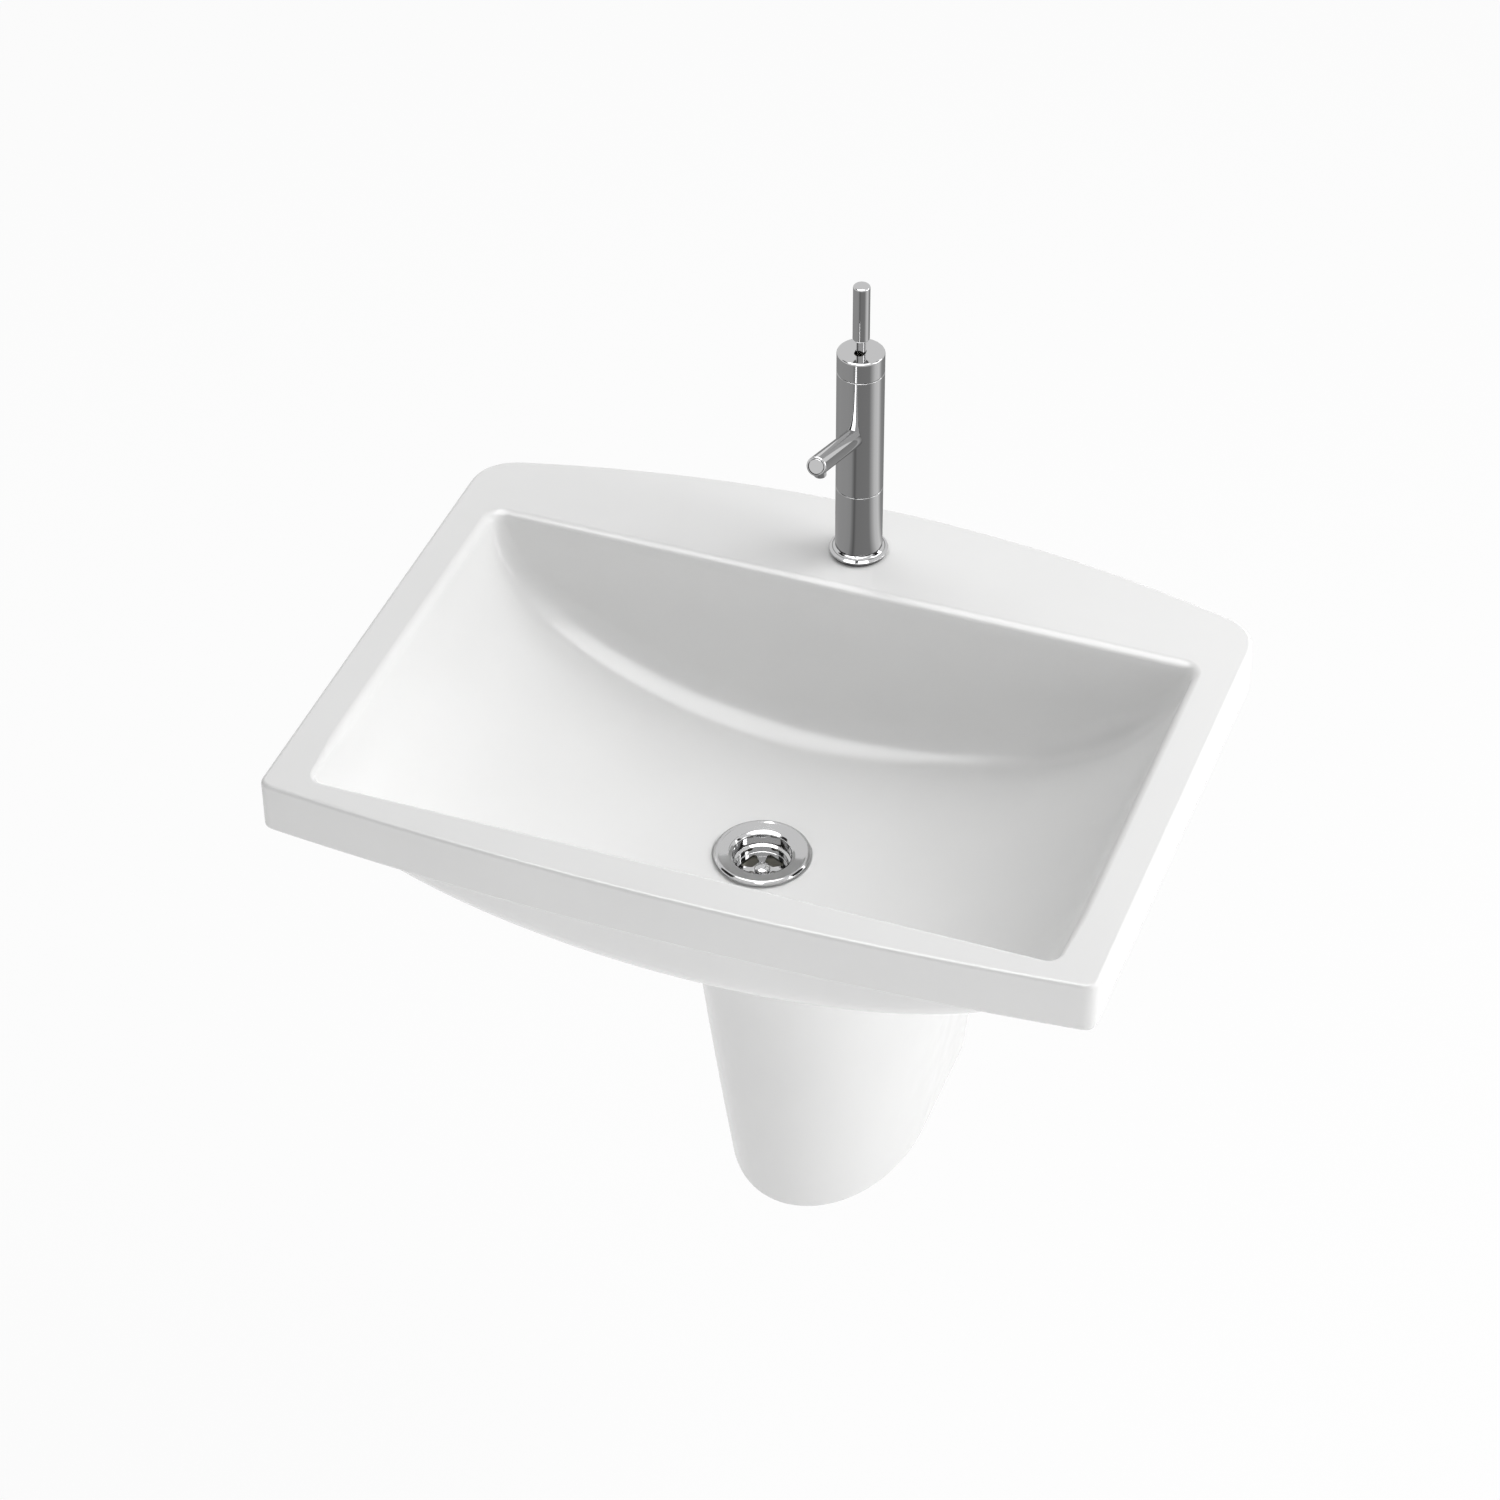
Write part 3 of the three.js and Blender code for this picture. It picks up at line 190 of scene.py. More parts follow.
def moved(obj, x=0.0, y=0.0, z=0.0, turn=None):
    """Turns the mesh about the origin, then shifts it by millimetres."""
    matrix = Matrix.Translation(Vector((x, y, z)) * MM)
    obj.data.transform(matrix @ turn if turn else matrix)
    return obj


def copied(obj):
    return new_object(obj.name, obj.data.copy())


def placed(piece, node, axis=1):
    """Moves a piece made along +Z onto its CAD node's own axis: 1 is Y, 2 is Z."""
    x, y, z = middle(node)
    return moved(piece, x, 0, z, ALONG_Y) if axis == 1 else moved(piece, x, y)


def baked(obj):
    """Applies the object's modifiers to its mesh."""
    graph = bpy.context.evaluated_depsgraph_get()
    old = obj.data
    obj.data = bpy.data.meshes.new_from_object(obj.evaluated_get(graph))
    obj.modifiers.clear()
    bpy.data.meshes.remove(old)
    return obj


def combined(operation, base, *tools):
    """Joins, cuts or intersects base with the tools, which are used up."""
    for tool in tools:
        modifier = base.modifiers.new(operation, "BOOLEAN")
        modifier.operation = operation
        modifier.solver = "MANIFOLD"
        modifier.object = tool
    baked(base)
    for tool in tools:
        bpy.data.objects.remove(tool)
    return base


cut = partial(combined, "DIFFERENCE")
joined = partial(combined, "UNION")
common = partial(combined, "INTERSECT")


def smoothed(obj):
    """Smooth shading with crisp edges; large faces keep their own normals, so flats stay flat."""
    obj.data.shade_smooth()
    obj.data.set_sharp_from_angle(angle=CREASE)
    modifier = obj.modifiers.new("normals", "WEIGHTED_NORMAL")
    modifier.keep_sharp = True
    modifier.weight = 60
    return baked(obj)


def bands(rows, closed=False):
    """Faces between rows of points round a ring; a row of one point makes triangles.

    Where it is closed, the last row meets the first.
    """
    faces = []
    for low, high in zip(rows, rows[1:] + rows[:1] if closed else rows[1:]):
        count = max(len(low), len(high))
        for i in range(count):
            k = (i + 1) % count
            ring = [low[i % len(low)], low[k % len(low)], high[k % len(high)], high[i % len(high)]]
            face = tuple(dict.fromkeys(ring))
            if len(face) > 2:
                faces.append(face)
    return faces


def loft(name, rings, around=False):
    """A closed solid through rings of points, each with the same count.

    Its ends are capped, or with around=True the last ring meets the first.
    """
    count = len(rings[0])
    rows = [range(j * count, (j + 1) * count) for j in range(len(rings))]
    faces = bands(rows, around)
    if not around:
        faces += [tuple(rows[0]), tuple(rows[-1])]
    return add_mesh(name, np.concatenate(rings), faces)


def quarter(radius, steps=6):
    """Inset and height of a quarter round, from its foot (inset radius, height 0) to its side."""
    angles = np.linspace(0, pi / 2, steps + 1)
    return [(radius * (1 - sin(a)), radius * (1 - cos(a))) for a in angles]


def rounded_levels(low, high, bottom, top):
    """(inset, height) pairs of a side whose lower and upper edges are rounded."""
    up = [(inset, low + rise) for inset, rise in quarter(bottom)] if bottom else [(0, low)]
    down = [(inset, high - rise) for inset, rise in quarter(top)] if top else [(0, high)]
    return up + down[::-1]


def inset(outline, distance):
    """The outline moved inward by a distance, each corner along its own mitre."""
    points = np.asarray(outline, float)
    before = points - np.roll(points, 1, axis=0)
    after = np.roll(points, -1, axis=0) - points
    before /= np.linalg.norm(before, axis=1)[:, None]
    after /= np.linalg.norm(after, axis=1)[:, None]
    inward = np.stack([-before[:, 1] - after[:, 1], before[:, 0] + after[:, 0]], axis=1)
    share = 1 + (before * after).sum(axis=1)
    return points + inward * (distance / share)[:, None]


def at_height(outline, height):
    """The (x, y) points of an outline, laid at a height."""
    return np.column_stack([outline, np.full(len(outline), height)])


def prism(name, outline, low, high, bottom=0.0, top=0.0):
    """An anticlockwise outline raised along Z, with rounded lower and upper edges."""
    return loft(name, [
        at_height(inset(outline, distance), height)
        for distance, height in rounded_levels(low, high, bottom, top)])


def arc(radius, angles, x=0.0, y=0.0):
    """Points of a circle round (x, y) at the angles."""
    return [(x + radius * cos(a), y + radius * sin(a)) for a in angles]


def rectangle(x0, x1, y0, y1, radius=0.0, steps=5):
    """An anticlockwise rectangle with rounded corners."""
    if radius == 0:
        return [(x0, y0), (x1, y0), (x1, y1), (x0, y1)]
    centres = [(x1 - radius, y0 + radius), (x1 - radius, y1 - radius),
               (x0 + radius, y1 - radius), (x0 + radius, y0 + radius)]
    outline = []
    for corner, (x, y) in enumerate(centres):
        angles = np.linspace(0, pi / 2, steps + 1) + (corner - 1) * pi / 2
        outline += arc(radius, angles, x, y)
    return outline


def rounded(profile, steps=5):
    """Replaces each corner given as (radius, height, rounding) with an arc."""
    points = [np.array(p[:2], float) for p in profile]
    result = []
    for i, corner in enumerate(profile):
        here = points[i]
        if len(corner) < 3:
            result.append(tuple(here))
            continue
        a, b = points[i - 1] - here, points[(i + 1) % len(points)] - here
        room = 0.48 * min(np.linalg.norm(a), np.linalg.norm(b))
        a, b = a / np.linalg.norm(a), b / np.linalg.norm(b)
        half = acos(np.clip(a @ b, -1, 1)) / 2
        reach = min(corner[2] / tan(half), room)
        centre = here + (a + b) / np.linalg.norm(a + b) * reach / cos(half)
        start, end = here + a * reach - centre, here + b * reach - centre
        sweep = pi - 2 * half
        for k in range(steps + 1):
            share = k / steps
            point = start * sin((1 - share) * sweep) + end * sin(share * sweep)
            result.append(tuple(centre + point / sin(sweep)))
    return result


def turned(name, profile, segments=ROUND):
    """A turned solid about Z from a (radius, height[, rounding]) profile.

    The profile closes on itself unless it starts and ends on the axis.
    """
    angles = np.linspace(0, 2 * pi, segments, endpoint=False)
    points, rows = [], []
    for radius, height in rounded(profile):
        on_axis = radius < 1e-6
        ring = [(0, 0, height)] if on_axis else at_height(arc(radius, angles), height).tolist()
        rows.append(range(len(points), len(points) + len(ring)))
        points += ring
    closed = len(rows[0]) > 1 or len(rows[-1]) > 1
    return add_mesh(name, points, bands(rows, closed))


def rod(radius, low, high, segments=ROUND):
    """A plain cylinder, for holes."""
    return turned("rod", [(0, low), (radius, low), (radius, high), (0, high)], segments)


def height_solid(name, xs, ys, surface, cap):
    """A closed solid between surface(x, y), over the grid of xs and ys, and a level cap."""
    grid_x, grid_y = np.meshgrid(xs, ys)
    top = np.column_stack([grid_x.ravel(), grid_y.ravel(), surface(grid_x, grid_y).ravel()])
    grid = np.arange(len(top)).reshape(grid_x.shape)
    cells = [grid[:-1, :-1], grid[:-1, 1:], grid[1:, 1:], grid[1:, :-1]]
    faces = np.stack(cells, axis=-1).reshape(-1, 4).tolist()
    border = np.concatenate([grid[0], grid[1:, -1], grid[-1, -2::-1], grid[-2:0:-1, 0]]).tolist()
    lid = top[border]
    lid[:, 2] = cap
    edge = range(len(top), len(top) + len(border))
    faces += bands([border, edge]) + [tuple(edge)]
    return add_mesh(name, np.concatenate([top, lid]), faces)


def even_stations(height, low, high, count):
    """Places along one axis, evenly spaced on the curve (s, height(s))."""
    places = np.linspace(low, high, 4001)
    steps = np.hypot(np.diff(places), np.diff(height(places)))
    run = np.concatenate([[0], np.cumsum(steps)])
    return np.interp(np.linspace(0, run[-1], count + 1), run, places)


def mirrored(half):
    """Places on both sides of 0, from those on the right, which begin at 0."""
    return np.concatenate([-half[:0:-1], half])


# ---- Basin ----
def basin_outline(inset_by=0.0, arc_steps=48, corner_steps=10):
    """The plan outline, anticlockwise: straight sides, bowed front and back, rounded corners."""
    half = HALF_WIDTH - inset_by
    front, back = FRONT_CORNER_Y + inset_by, BACK_CORNER_Y - inset_by
    front_radius = max(FRONT_CORNER_RADIUS - inset_by, 2)
    back_radius = max(BACK_CORNER_RADIUS - inset_by, 2)

    def bowed(corner_y, bow, reach, way):
        xs = np.linspace(-way, way, arc_steps + 1) * reach
        return [(x, corner_y + bow * (1 - (x / half) ** 2)) for x in xs]

    def corner(start, tip, end):
        shares = np.linspace(0, 1, corner_steps + 1)[1:-1, None]
        start, tip, end = (np.array(p) for p in (start, tip, end))
        return [*((1 - shares) ** 2 * start + 2 * shares * (1 - shares) * tip + shares ** 2 * end)]

    front_arc = bowed(front, -FRONT_BOW, half - front_radius, 1)
    back_arc = bowed(back, BACK_BOW, half - back_radius, -1)
    low, high = front + front_radius, back - back_radius
    return (
        front_arc + corner(front_arc[-1], (half, front), (half, low)) + [(half, low), (half, high)]
        + corner((half, high), (half, back), back_arc[0]) + back_arc
        + corner(back_arc[-1], (-half, back), (-half, high)) + [(-half, high), (-half, low)]
        + corner((-half, low), (-half, front), front_arc[0]))


def slab(inset_by, low, high, rounding):
    """The plan outline, set in by a distance and raised between two heights, with rounded edges."""
    return loft("slab", [
        at_height(basin_outline(inset_by + distance), height)
        for distance, height in rounded_levels(low, high, rounding, rounding)])


def floor_depth(y):
    """Depth of the bowl's floor under the rim: level round the waste, rising gently to front and back."""
    away = np.maximum(0, np.abs(y - WASTE_Y) - FLOOR_FLAT)
    rise = np.where(y > WASTE_Y, BACK_FLOOR_RISE, FRONT_FLOOR_RISE)
    return BOWL_DEPTH - rise * away * away / (away + FLOOR_EASE)


def rounded_meet(a, b, radius):
    """The larger of two distances, with the crease between them rounded."""
    u, v = np.maximum(radius + a, 0), np.maximum(radius + b, 0)
    return np.minimum(-radius, np.maximum(a, b)) + np.hypot(u, v)


def bowl_distance(x, y, drop, grow):
    """Distance from the bowl's wall, negative inside, for the inner face or one set out by grow."""
    a, b = BOWL_HALF + grow, floor_depth(y) + grow
    level = np.hypot(x / a, drop / b)
    slope = np.hypot(x / (a * a), drop / (b * b)) / np.maximum(level, 1e-6)
    trough = (level - 1) / np.maximum(slope, 1e-6)
    back = (y - BOWL_BACK_Y - drop * tan(BACK_LEAN)) * cos(BACK_LEAN) - grow
    front = (BOWL_FRONT_Y - drop * tan(FRONT_LEAN) - y) * cos(FRONT_LEAN) - grow
    share = np.minimum(1, -drop / (BOWL_DEPTH / 2))
    radius = BOWL_CORNER_RADIUS + (FOOT_RADIUS - BOWL_CORNER_RADIUS) * share + grow
    return rounded_meet(rounded_meet(trough, back, radius), front, radius)


def height_where(inside, low, high, shape):
    """The height at which inside(height) changes sign, found by halving."""
    under, above = np.full(shape, float(low)), np.full(shape, float(high))
    for _ in range(36):
        centre = (under + above) / 2
        within = inside(centre) < 0
        above = np.where(within, centre, above)
        under = np.where(within, under, centre)
    return (under + above) / 2


def bowl_surface(x, y):
    """Height of the basin's upper surface over the bowl and its rounded rim."""
    x, y = np.broadcast_arrays(np.asarray(x, float), np.asarray(y, float))
    share = np.clip((y - BOWL_FRONT_Y) / RIM_EASE, 0, 1)
    radius = FRONT_RIM_RADIUS + (RIM_RADIUS - FRONT_RIM_RADIUS) * share * share * (3 - 2 * share)

    def air(drop):
        wall = bowl_distance(x, y, np.minimum(drop, 0), 0)
        u, v = np.maximum(radius - wall, 0), np.maximum(radius + drop, 0)
        return np.maximum(radius, np.minimum(wall, -drop)) - np.hypot(u, v)

    # Past its rounding the surface rises one in twenty, clear of the deck.
    past = np.maximum(0, bowl_distance(x, y, np.zeros(x.shape), 0) - 0.95 * radius)
    return RIM_Z + height_where(air, -BOWL_DEPTH - OVER, OVER, x.shape) + past / 20


def belly_surface(x, y):
    """Height of the bowl's outer face, a wall's thickness outside the inner one."""
    x, y = np.broadcast_arrays(np.asarray(x, float), np.asarray(y, float))

    def outside(drop):
        return bowl_distance(x, y, drop, CERAMIC_WALL)

    return RIM_Z + height_where(outside, -BOWL_DEPTH - 2 * CERAMIC_WALL, 0, x.shape)


def rim_stations(edge, radius, direction):
    """Places over a rounded rim, from its steep inner side out past it."""
    angles = np.linspace(0, pi / 2, 9)[1:]
    return edge + direction * np.array([radius * (1 - cos(a)) for a in angles] + [1.15 * radius])


def bowl_cutter():
    """The air in the bowl, out to just past its rounded rim."""
    xs = mirrored(np.concatenate([
        even_stations(lambda x: bowl_surface(x, WASTE_Y), 0, BOWL_HALF, 100),
        rim_stations(BOWL_HALF, RIM_RADIUS, 1)]))
    ys = np.concatenate([
        rim_stations(BOWL_FRONT_Y, FRONT_RIM_RADIUS, -1)[::-1],
        even_stations(lambda y: bowl_surface(0, y), BOWL_FRONT_Y, BOWL_BACK_Y, 150),
        rim_stations(BOWL_BACK_Y, RIM_RADIUS, 1)])
    return height_solid("bowl", xs, ys, bowl_surface, RIM_Z + OVER)


def belly():
    """The bowl's outer side, up into the deck."""
    top = RIM_Z - DECK / 2
    out = CERAMIC_WALL - 1

    def surface(x, y):
        return np.minimum(belly_surface(x, y), top - 1)

    xs = mirrored(even_stations(lambda x: surface(x, WASTE_Y), 0, BOWL_HALF + out, 60))
    ys = even_stations(lambda y: surface(0, y), BOWL_FRONT_Y - out, BOWL_BACK_Y + out, 90)
    return height_solid("belly", xs, ys, surface, top)


def underside_depth(x, y):
    """Depth under the rim of the face that the pedestal meets; level from the foot of the back wall on."""
    run = (BOWL_DEPTH + CERAMIC_WALL) * tan(BACK_LEAN)
    foot = BOWL_BACK_Y + CERAMIC_WALL / cos(BACK_LEAN) - run - FOOT_RADIUS
    depth = floor_depth(np.minimum(y, foot)) + CERAMIC_WALL
    return depth * np.sqrt(1 - (x / (BOWL_HALF + CERAMIC_WALL)) ** 2)


def bowl_back_y(z):
    return BOWL_BACK_Y + CERAMIC_WALL / cos(BACK_LEAN) - (RIM_Z - z) * tan(BACK_LEAN)


def back_box():
    """The box behind the bowl, whose lower edge carries the belly's curve on to the wall."""
    top = RIM_Z - DECK / 2
    start = bowl_back_y(UNDERSIDE_Z) - OVER
    xs = np.linspace(-BACK_HALF, BACK_HALF, 61)
    outline = [(x, RIM_Z - underside_depth(x, 0)) for x in xs] + [(BACK_HALF, top), (-BACK_HALF, top)]
    # Raised along Z and then laid down, its (x, z) outline has to be mirrored to keep its way round.
    flipped = [(x, -z) for x, z in outline[::-1]]
    body = moved(prism("back", flipped, start, 0, 0, EDGE_RADIUS), turn=ALONG_Y)
    apron_low = RIM_Z - APRON_HEIGHT
    side = rectangle(-BACK_HALF - OVER, BACK_HALF + OVER, start - OVER, OVER)
    below = prism("below", side, UNDERSIDE_Z - OVER, apron_low)
    lower = common(copied(body), below)
    return joined(common(body, slab(SEAT, apron_low - OVER, RIM_Z, 0)), lower)


def chamber():
    """The open chamber behind the bowl, which holds the tap's fixings and the wall bolts.

    Its upper part keeps a full wall inside the apron's bowed back.
    """
    top, bottom = RIM_Z - DECK, UNDERSIDE_Z - OVER
    half = BACK_HALF - CHAMBER_SIDE_WALL
    outline = [
        (-BACK_PANEL, bottom), (-BACK_PANEL, top), (bowl_back_y(top), top),
        (bowl_back_y(bottom), bottom)]
    whole = loft("chamber", [[(x, y, z) for y, z in outline] for x in (-half, half)])
    step = RIM_Z - APRON_HEIGHT - APRON_WALL
    upper = common(copied(whole), slab(APRON_WALL, step, top, 0))
    around = rectangle(-HALF_WIDTH, HALF_WIDTH, BASIN_LOW[1], 0)
    return joined(upper, common(whole, prism("below", around, bottom - OVER, step)))


def make_basin():
    """Deck and apron over the bowl's outer side and the box behind it, with bowl, chamber and holes cut."""
    apron_low = RIM_Z - APRON_HEIGHT
    shell = cut(
        slab(0, apron_low, RIM_Z, EDGE_RADIUS),
        slab(APRON_WALL, apron_low - OVER, RIM_Z - DECK, 0))
    bolt_holes = [
        placed(rod(BOLT_HOLE_RADIUS, -BACK_PANEL - OVER, OVER, SMALL_ROUND), f"basin_stud_{side}")
        for side in ("left", "right")]
    return cut(
        joined(shell, belly(), back_box()),
        bowl_cutter(),
        chamber(),
        moved(rod(WASTE_HOLE_RADIUS, UNDERSIDE_Z - OVER, FLOOR_Z + OVER), y=WASTE_Y),
        moved(rod(WASTE_FLANGE_RADIUS + 1, FLOOR_Z, FLOOR_Z + 6), y=WASTE_Y),
        moved(rod(TAP_HOLE_RADIUS, RIM_Z - DECK - OVER, RIM_Z + OVER), y=TAP_Y),
        *bolt_holes)


# ---- Half pedestal ----
def half_width_at(height):
    return FOOT_HALF_WIDTH + SPREAD * height - SPREAD_EASE * height * height


def depth_at(height):
    flare = max(0.0, height - FLARE_START)
    return FOOT_DEPTH + SLOPE * height + FLARE * flare * flare


def pedestal_section(height, inset_by, past_wall):
    """One U-shaped section: straight sides off the wall and a half-elliptical front."""
    half = half_width_at(height) - inset_by
    nose = depth_at(height) - STRAIGHT_DEPTH - inset_by
    angles = np.linspace(0, pi, 49)
    front = [(half * cos(a), -STRAIGHT_DEPTH - nose * sin(a)) for a in angles]
    return at_height([(half, past_wall), *front, (-half, past_wall)], PEDESTAL_LOW[2] + height)


def make_pedestal():
    """A hollow shell open to the wall, with a lug for each bolt and a top that follows the basin."""
    top = PEDESTAL_HEIGHT + CERAMIC_WALL
    lip = quarter(PEDESTAL_LIP)
    rows = [*np.linspace(12, top - 4, 44)]
    levels = [(rise, set_in) for set_in, rise in lip] + [(row, 0) for row in rows + [top]]
    outer = loft("outer", [pedestal_section(height, set_in, 0) for height, set_in in levels])
    levels = [(-OVER, PEDESTAL_WALL - PEDESTAL_LIP)]
    levels += [(rise, PEDESTAL_WALL - set_in) for set_in, rise in lip]
    levels += [(row, PEDESTAL_WALL) for row in rows + [top + OVER]]
    inner = loft("inner", [pedestal_section(height, set_in, OVER) for height, set_in in levels])
    lugs, holes = [], []
    for side, sign in (("left", -1), ("right", 1)):
        stud = f"pedestal_stud_{side}"
        x, _, z = middle(stud)
        wall_x = half_width_at(z - PEDESTAL_LOW[2]) - PEDESTAL_WALL / 2
        x0, x1 = sorted([x - sign * LUG_HALF_WIDTH, sign * wall_x])
        outline = rectangle(x0, x1, -z - LUG_TALL / 2, -z + LUG_TALL / 2, LUG_CORNER)
        lugs.append(moved(prism("lug", outline, -LUG_THICKNESS, 0, LUG_EDGE, 0), turn=ALONG_Y))
        holes.append(placed(rod(LUG_HOLE_RADIUS, -LUG_THICKNESS - OVER, OVER, SMALL_ROUND), stud))
    half = half_width_at(top) + OVER
    xs = np.linspace(-half, half, 61)
    ys = np.linspace(-depth_at(top) - OVER, OVER, 81)
    return cut(
        joined(cut(outer, inner), *lugs),
        height_solid("underside", xs, ys, lambda x, y: RIM_Z - underside_depth(x, y) - SEAT, RIM_Z),
        *holes)


# ---- Tap ----
SPOUT_RISE = radians(20.4)
SPOUT_ROOT = 105.0
SPOUT_REACH = 93.0
SPOUT_RADIUS = 7.2
SPOUT_BORE = 4.8
SPOUT_LENGTH = SPOUT_REACH / cos(SPOUT_RISE)
PLUG_RADIUS = radius_of("spout_end_plug")
PLUG_LENGTH = 4.0
AERATOR_RADIUS = radius_of("aerator_shell")
SPOUT_TURN = Matrix.Rotation(pi / 2 - SPOUT_RISE, 4, "X")
SPOUT_ROUNDING = 1.1
CARTRIDGE_BORE = 13.9
CAVITY_DEPTH = 21.6  # of the cartridge's cavity, under the column's top
SLEEVE_BORE = TAP_RADIUS - 2.8
SEAM = 0.45  # chamfer at the seams between the tap's pieces
TOP_ROUNDING = 1.7
CAP_PLATE = 2.5
LEVER_RADIUS = 6.1
NECK_RADIUS = 3.5
BALL_RADIUS = 4.5
STEM_RADIUS = 2.0
PIVOT_DEPTH = 8.0  # of the lever's pivot under the cap's top
NECK_TOP = 10.3  # where the neck meets the thick rod, over the cap's top
LEVER_LEAN = radians(20)


def along_spout(obj):
    return moved(obj, 0, TAP_Y, RIM_Z + SPOUT_ROOT, SPOUT_TURN)


def make_base_ring():
    """A flared ring: a thin upright edge, a slope, and a hollow that runs up to the sleeve."""
    base, top = span("tap_base_ring")
    outer = radius_of("tap_base_ring")
    bore, edge = 14.5, 1.5
    flare_width, flare_height = 1.7, 2.2
    flare = [
        (TAP_RADIUS + 0.5 + flare_width * sin(a) ** 2, top - 0.3 - flare_height * (1 - cos(a)))
        for a in np.linspace(pi / 2, 0, 8)]
    return moved(turned("base_ring", [
        (bore, base), (outer, base, 0.2), (outer, base + edge, 0.5), *flare, (TAP_RADIUS + 0.2, top),
        (bore, top)], FINE_ROUND), y=TAP_Y)


def make_sleeve():
    low, high = span("tap_sleeve")
    return moved(turned("sleeve", [
        (SLEEVE_BORE, low), (TAP_RADIUS, low, SEAM), (TAP_RADIUS, high, SEAM), (SLEEVE_BORE, high)],
        FINE_ROUND), y=TAP_Y)


def make_tap_body():
    """The column and its spout, with the cartridge's cavity, the water way and the aerator's hole."""
    low, top = span("tap_body")
    cavity = top - CAVITY_DEPTH
    shoulder = span("cartridge_retainer")[0] - SEAT
    collar = radius_of("cartridge_retainer") + SLIP
    column = moved(turned("tap_body", [
        (0, low), (TAP_RADIUS, low, SEAM), (TAP_RADIUS, top, SEAM), (collar, top), (collar, shoulder),
        (CARTRIDGE_BORE, shoulder), (CARTRIDGE_BORE, cavity), (0, cavity)], FINE_ROUND), y=TAP_Y)
    spout = along_spout(turned("spout", [
        (0, 0), (SPOUT_RADIUS, 0), (SPOUT_RADIUS, SPOUT_LENGTH, SPOUT_ROUNDING), (0, SPOUT_LENGTH)]))
    pocket = along_spout(rod(PLUG_RADIUS + SLIP, SPOUT_LENGTH - PLUG_LENGTH - SEAT, SPOUT_LENGTH + OVER))
    way = along_spout(rod(SPOUT_BORE, 6, SPOUT_LENGTH, SMALL_ROUND))
    hole = moved(rod(AERATOR_RADIUS + SLIP, *span("aerator_shell")), y=middle("aerator_shell")[1])
    return cut(joined(column, spout), pocket, way, hole)


def make_plug():
    start = SPOUT_LENGTH - PLUG_LENGTH
    profile = [(0, start), (PLUG_RADIUS, start), (PLUG_RADIUS, SPOUT_LENGTH, 0.5), (0, SPOUT_LENGTH)]
    return along_spout(turned("plug", profile))


def make_aerator():
    low, high = span("aerator_shell")
    bore = AERATOR_RADIUS - 0.9
    profile = [(bore, low, 0.3), (AERATOR_RADIUS, low, 0.4), (AERATOR_RADIUS, high), (bore, high)]
    return moved(turned("aerator", profile, 64), y=middle("aerator_shell")[1])


def make_cap():
    """The cap, whose hole is a short slot that lets the lever's neck lean forward."""
    bottom, top = span("tap_cap")
    bore = radius_of("cartridge_retainer")
    plate = top - CAP_PLATE
    shell = turned("cap", [
        (0, top), (TAP_RADIUS, top, TOP_ROUNDING), (TAP_RADIUS, bottom, SEAM), (bore, bottom),
        (bore, plate), (0, plate)], FINE_ROUND)
    lean = PIVOT_DEPTH * tan(LEVER_LEAN) + NECK_RADIUS / cos(LEVER_LEAN) - NECK_RADIUS
    radius = NECK_RADIUS + SLIP
    angles = np.linspace(0, pi, 25)
    outline = arc(radius, angles) + arc(-radius, angles, y=-lean)
    return moved(cut(shell, prism("slot", outline, plate - OVER, top + OVER)), y=TAP_Y)


def make_lever():
    """The joystick: a thick rod on a neck, whose ball and stem stand in the cartridge."""
    tip, top = span("lever")
    cap_top = span("tap_cap")[1]
    shoulder = cap_top + NECK_TOP
    angles = np.linspace(-acos(STEM_RADIUS / BALL_RADIUS), acos(NECK_RADIUS / BALL_RADIUS), 14)
    return moved(turned("lever", [
        (0, tip), (STEM_RADIUS, tip, 0.4), *arc(BALL_RADIUS, angles, y=cap_top - PIVOT_DEPTH),
        (NECK_RADIUS, shoulder, 0.5), (LEVER_RADIUS, shoulder, 1.2), (LEVER_RADIUS, top, 1.5),
        (0, top)]), y=TAP_Y)


# ---- Waste ----
STRAINER_TURN = 0.36  # the strainer lies turned this far in its seat
STRAINER_HUB = 4.3
HOLE_INNER = 6.9
HOLE_OUTER = 16.6
HOLE_HALF_ANGLE = radians(31)
HOLE_CORNER = 2.4


def sector(inner, outer, half_angle, corner, steps=8):
    """An anticlockwise ring sector round the X axis, its corners rounded by a radius."""
    places = ((inner + corner, -1), (outer - corner, -1), (outer - corner, 1), (inner + corner, 1))
    outline = []
    for k, (radius, side) in enumerate(places):
        angle = side * (half_angle - asin(corner / radius))
        turns = angle + (k - 2) * pi / 2 + np.linspace(0, pi / 2, steps + 1)
        outline += arc(corner, turns, radius * cos(angle), radius * sin(angle))
    return outline


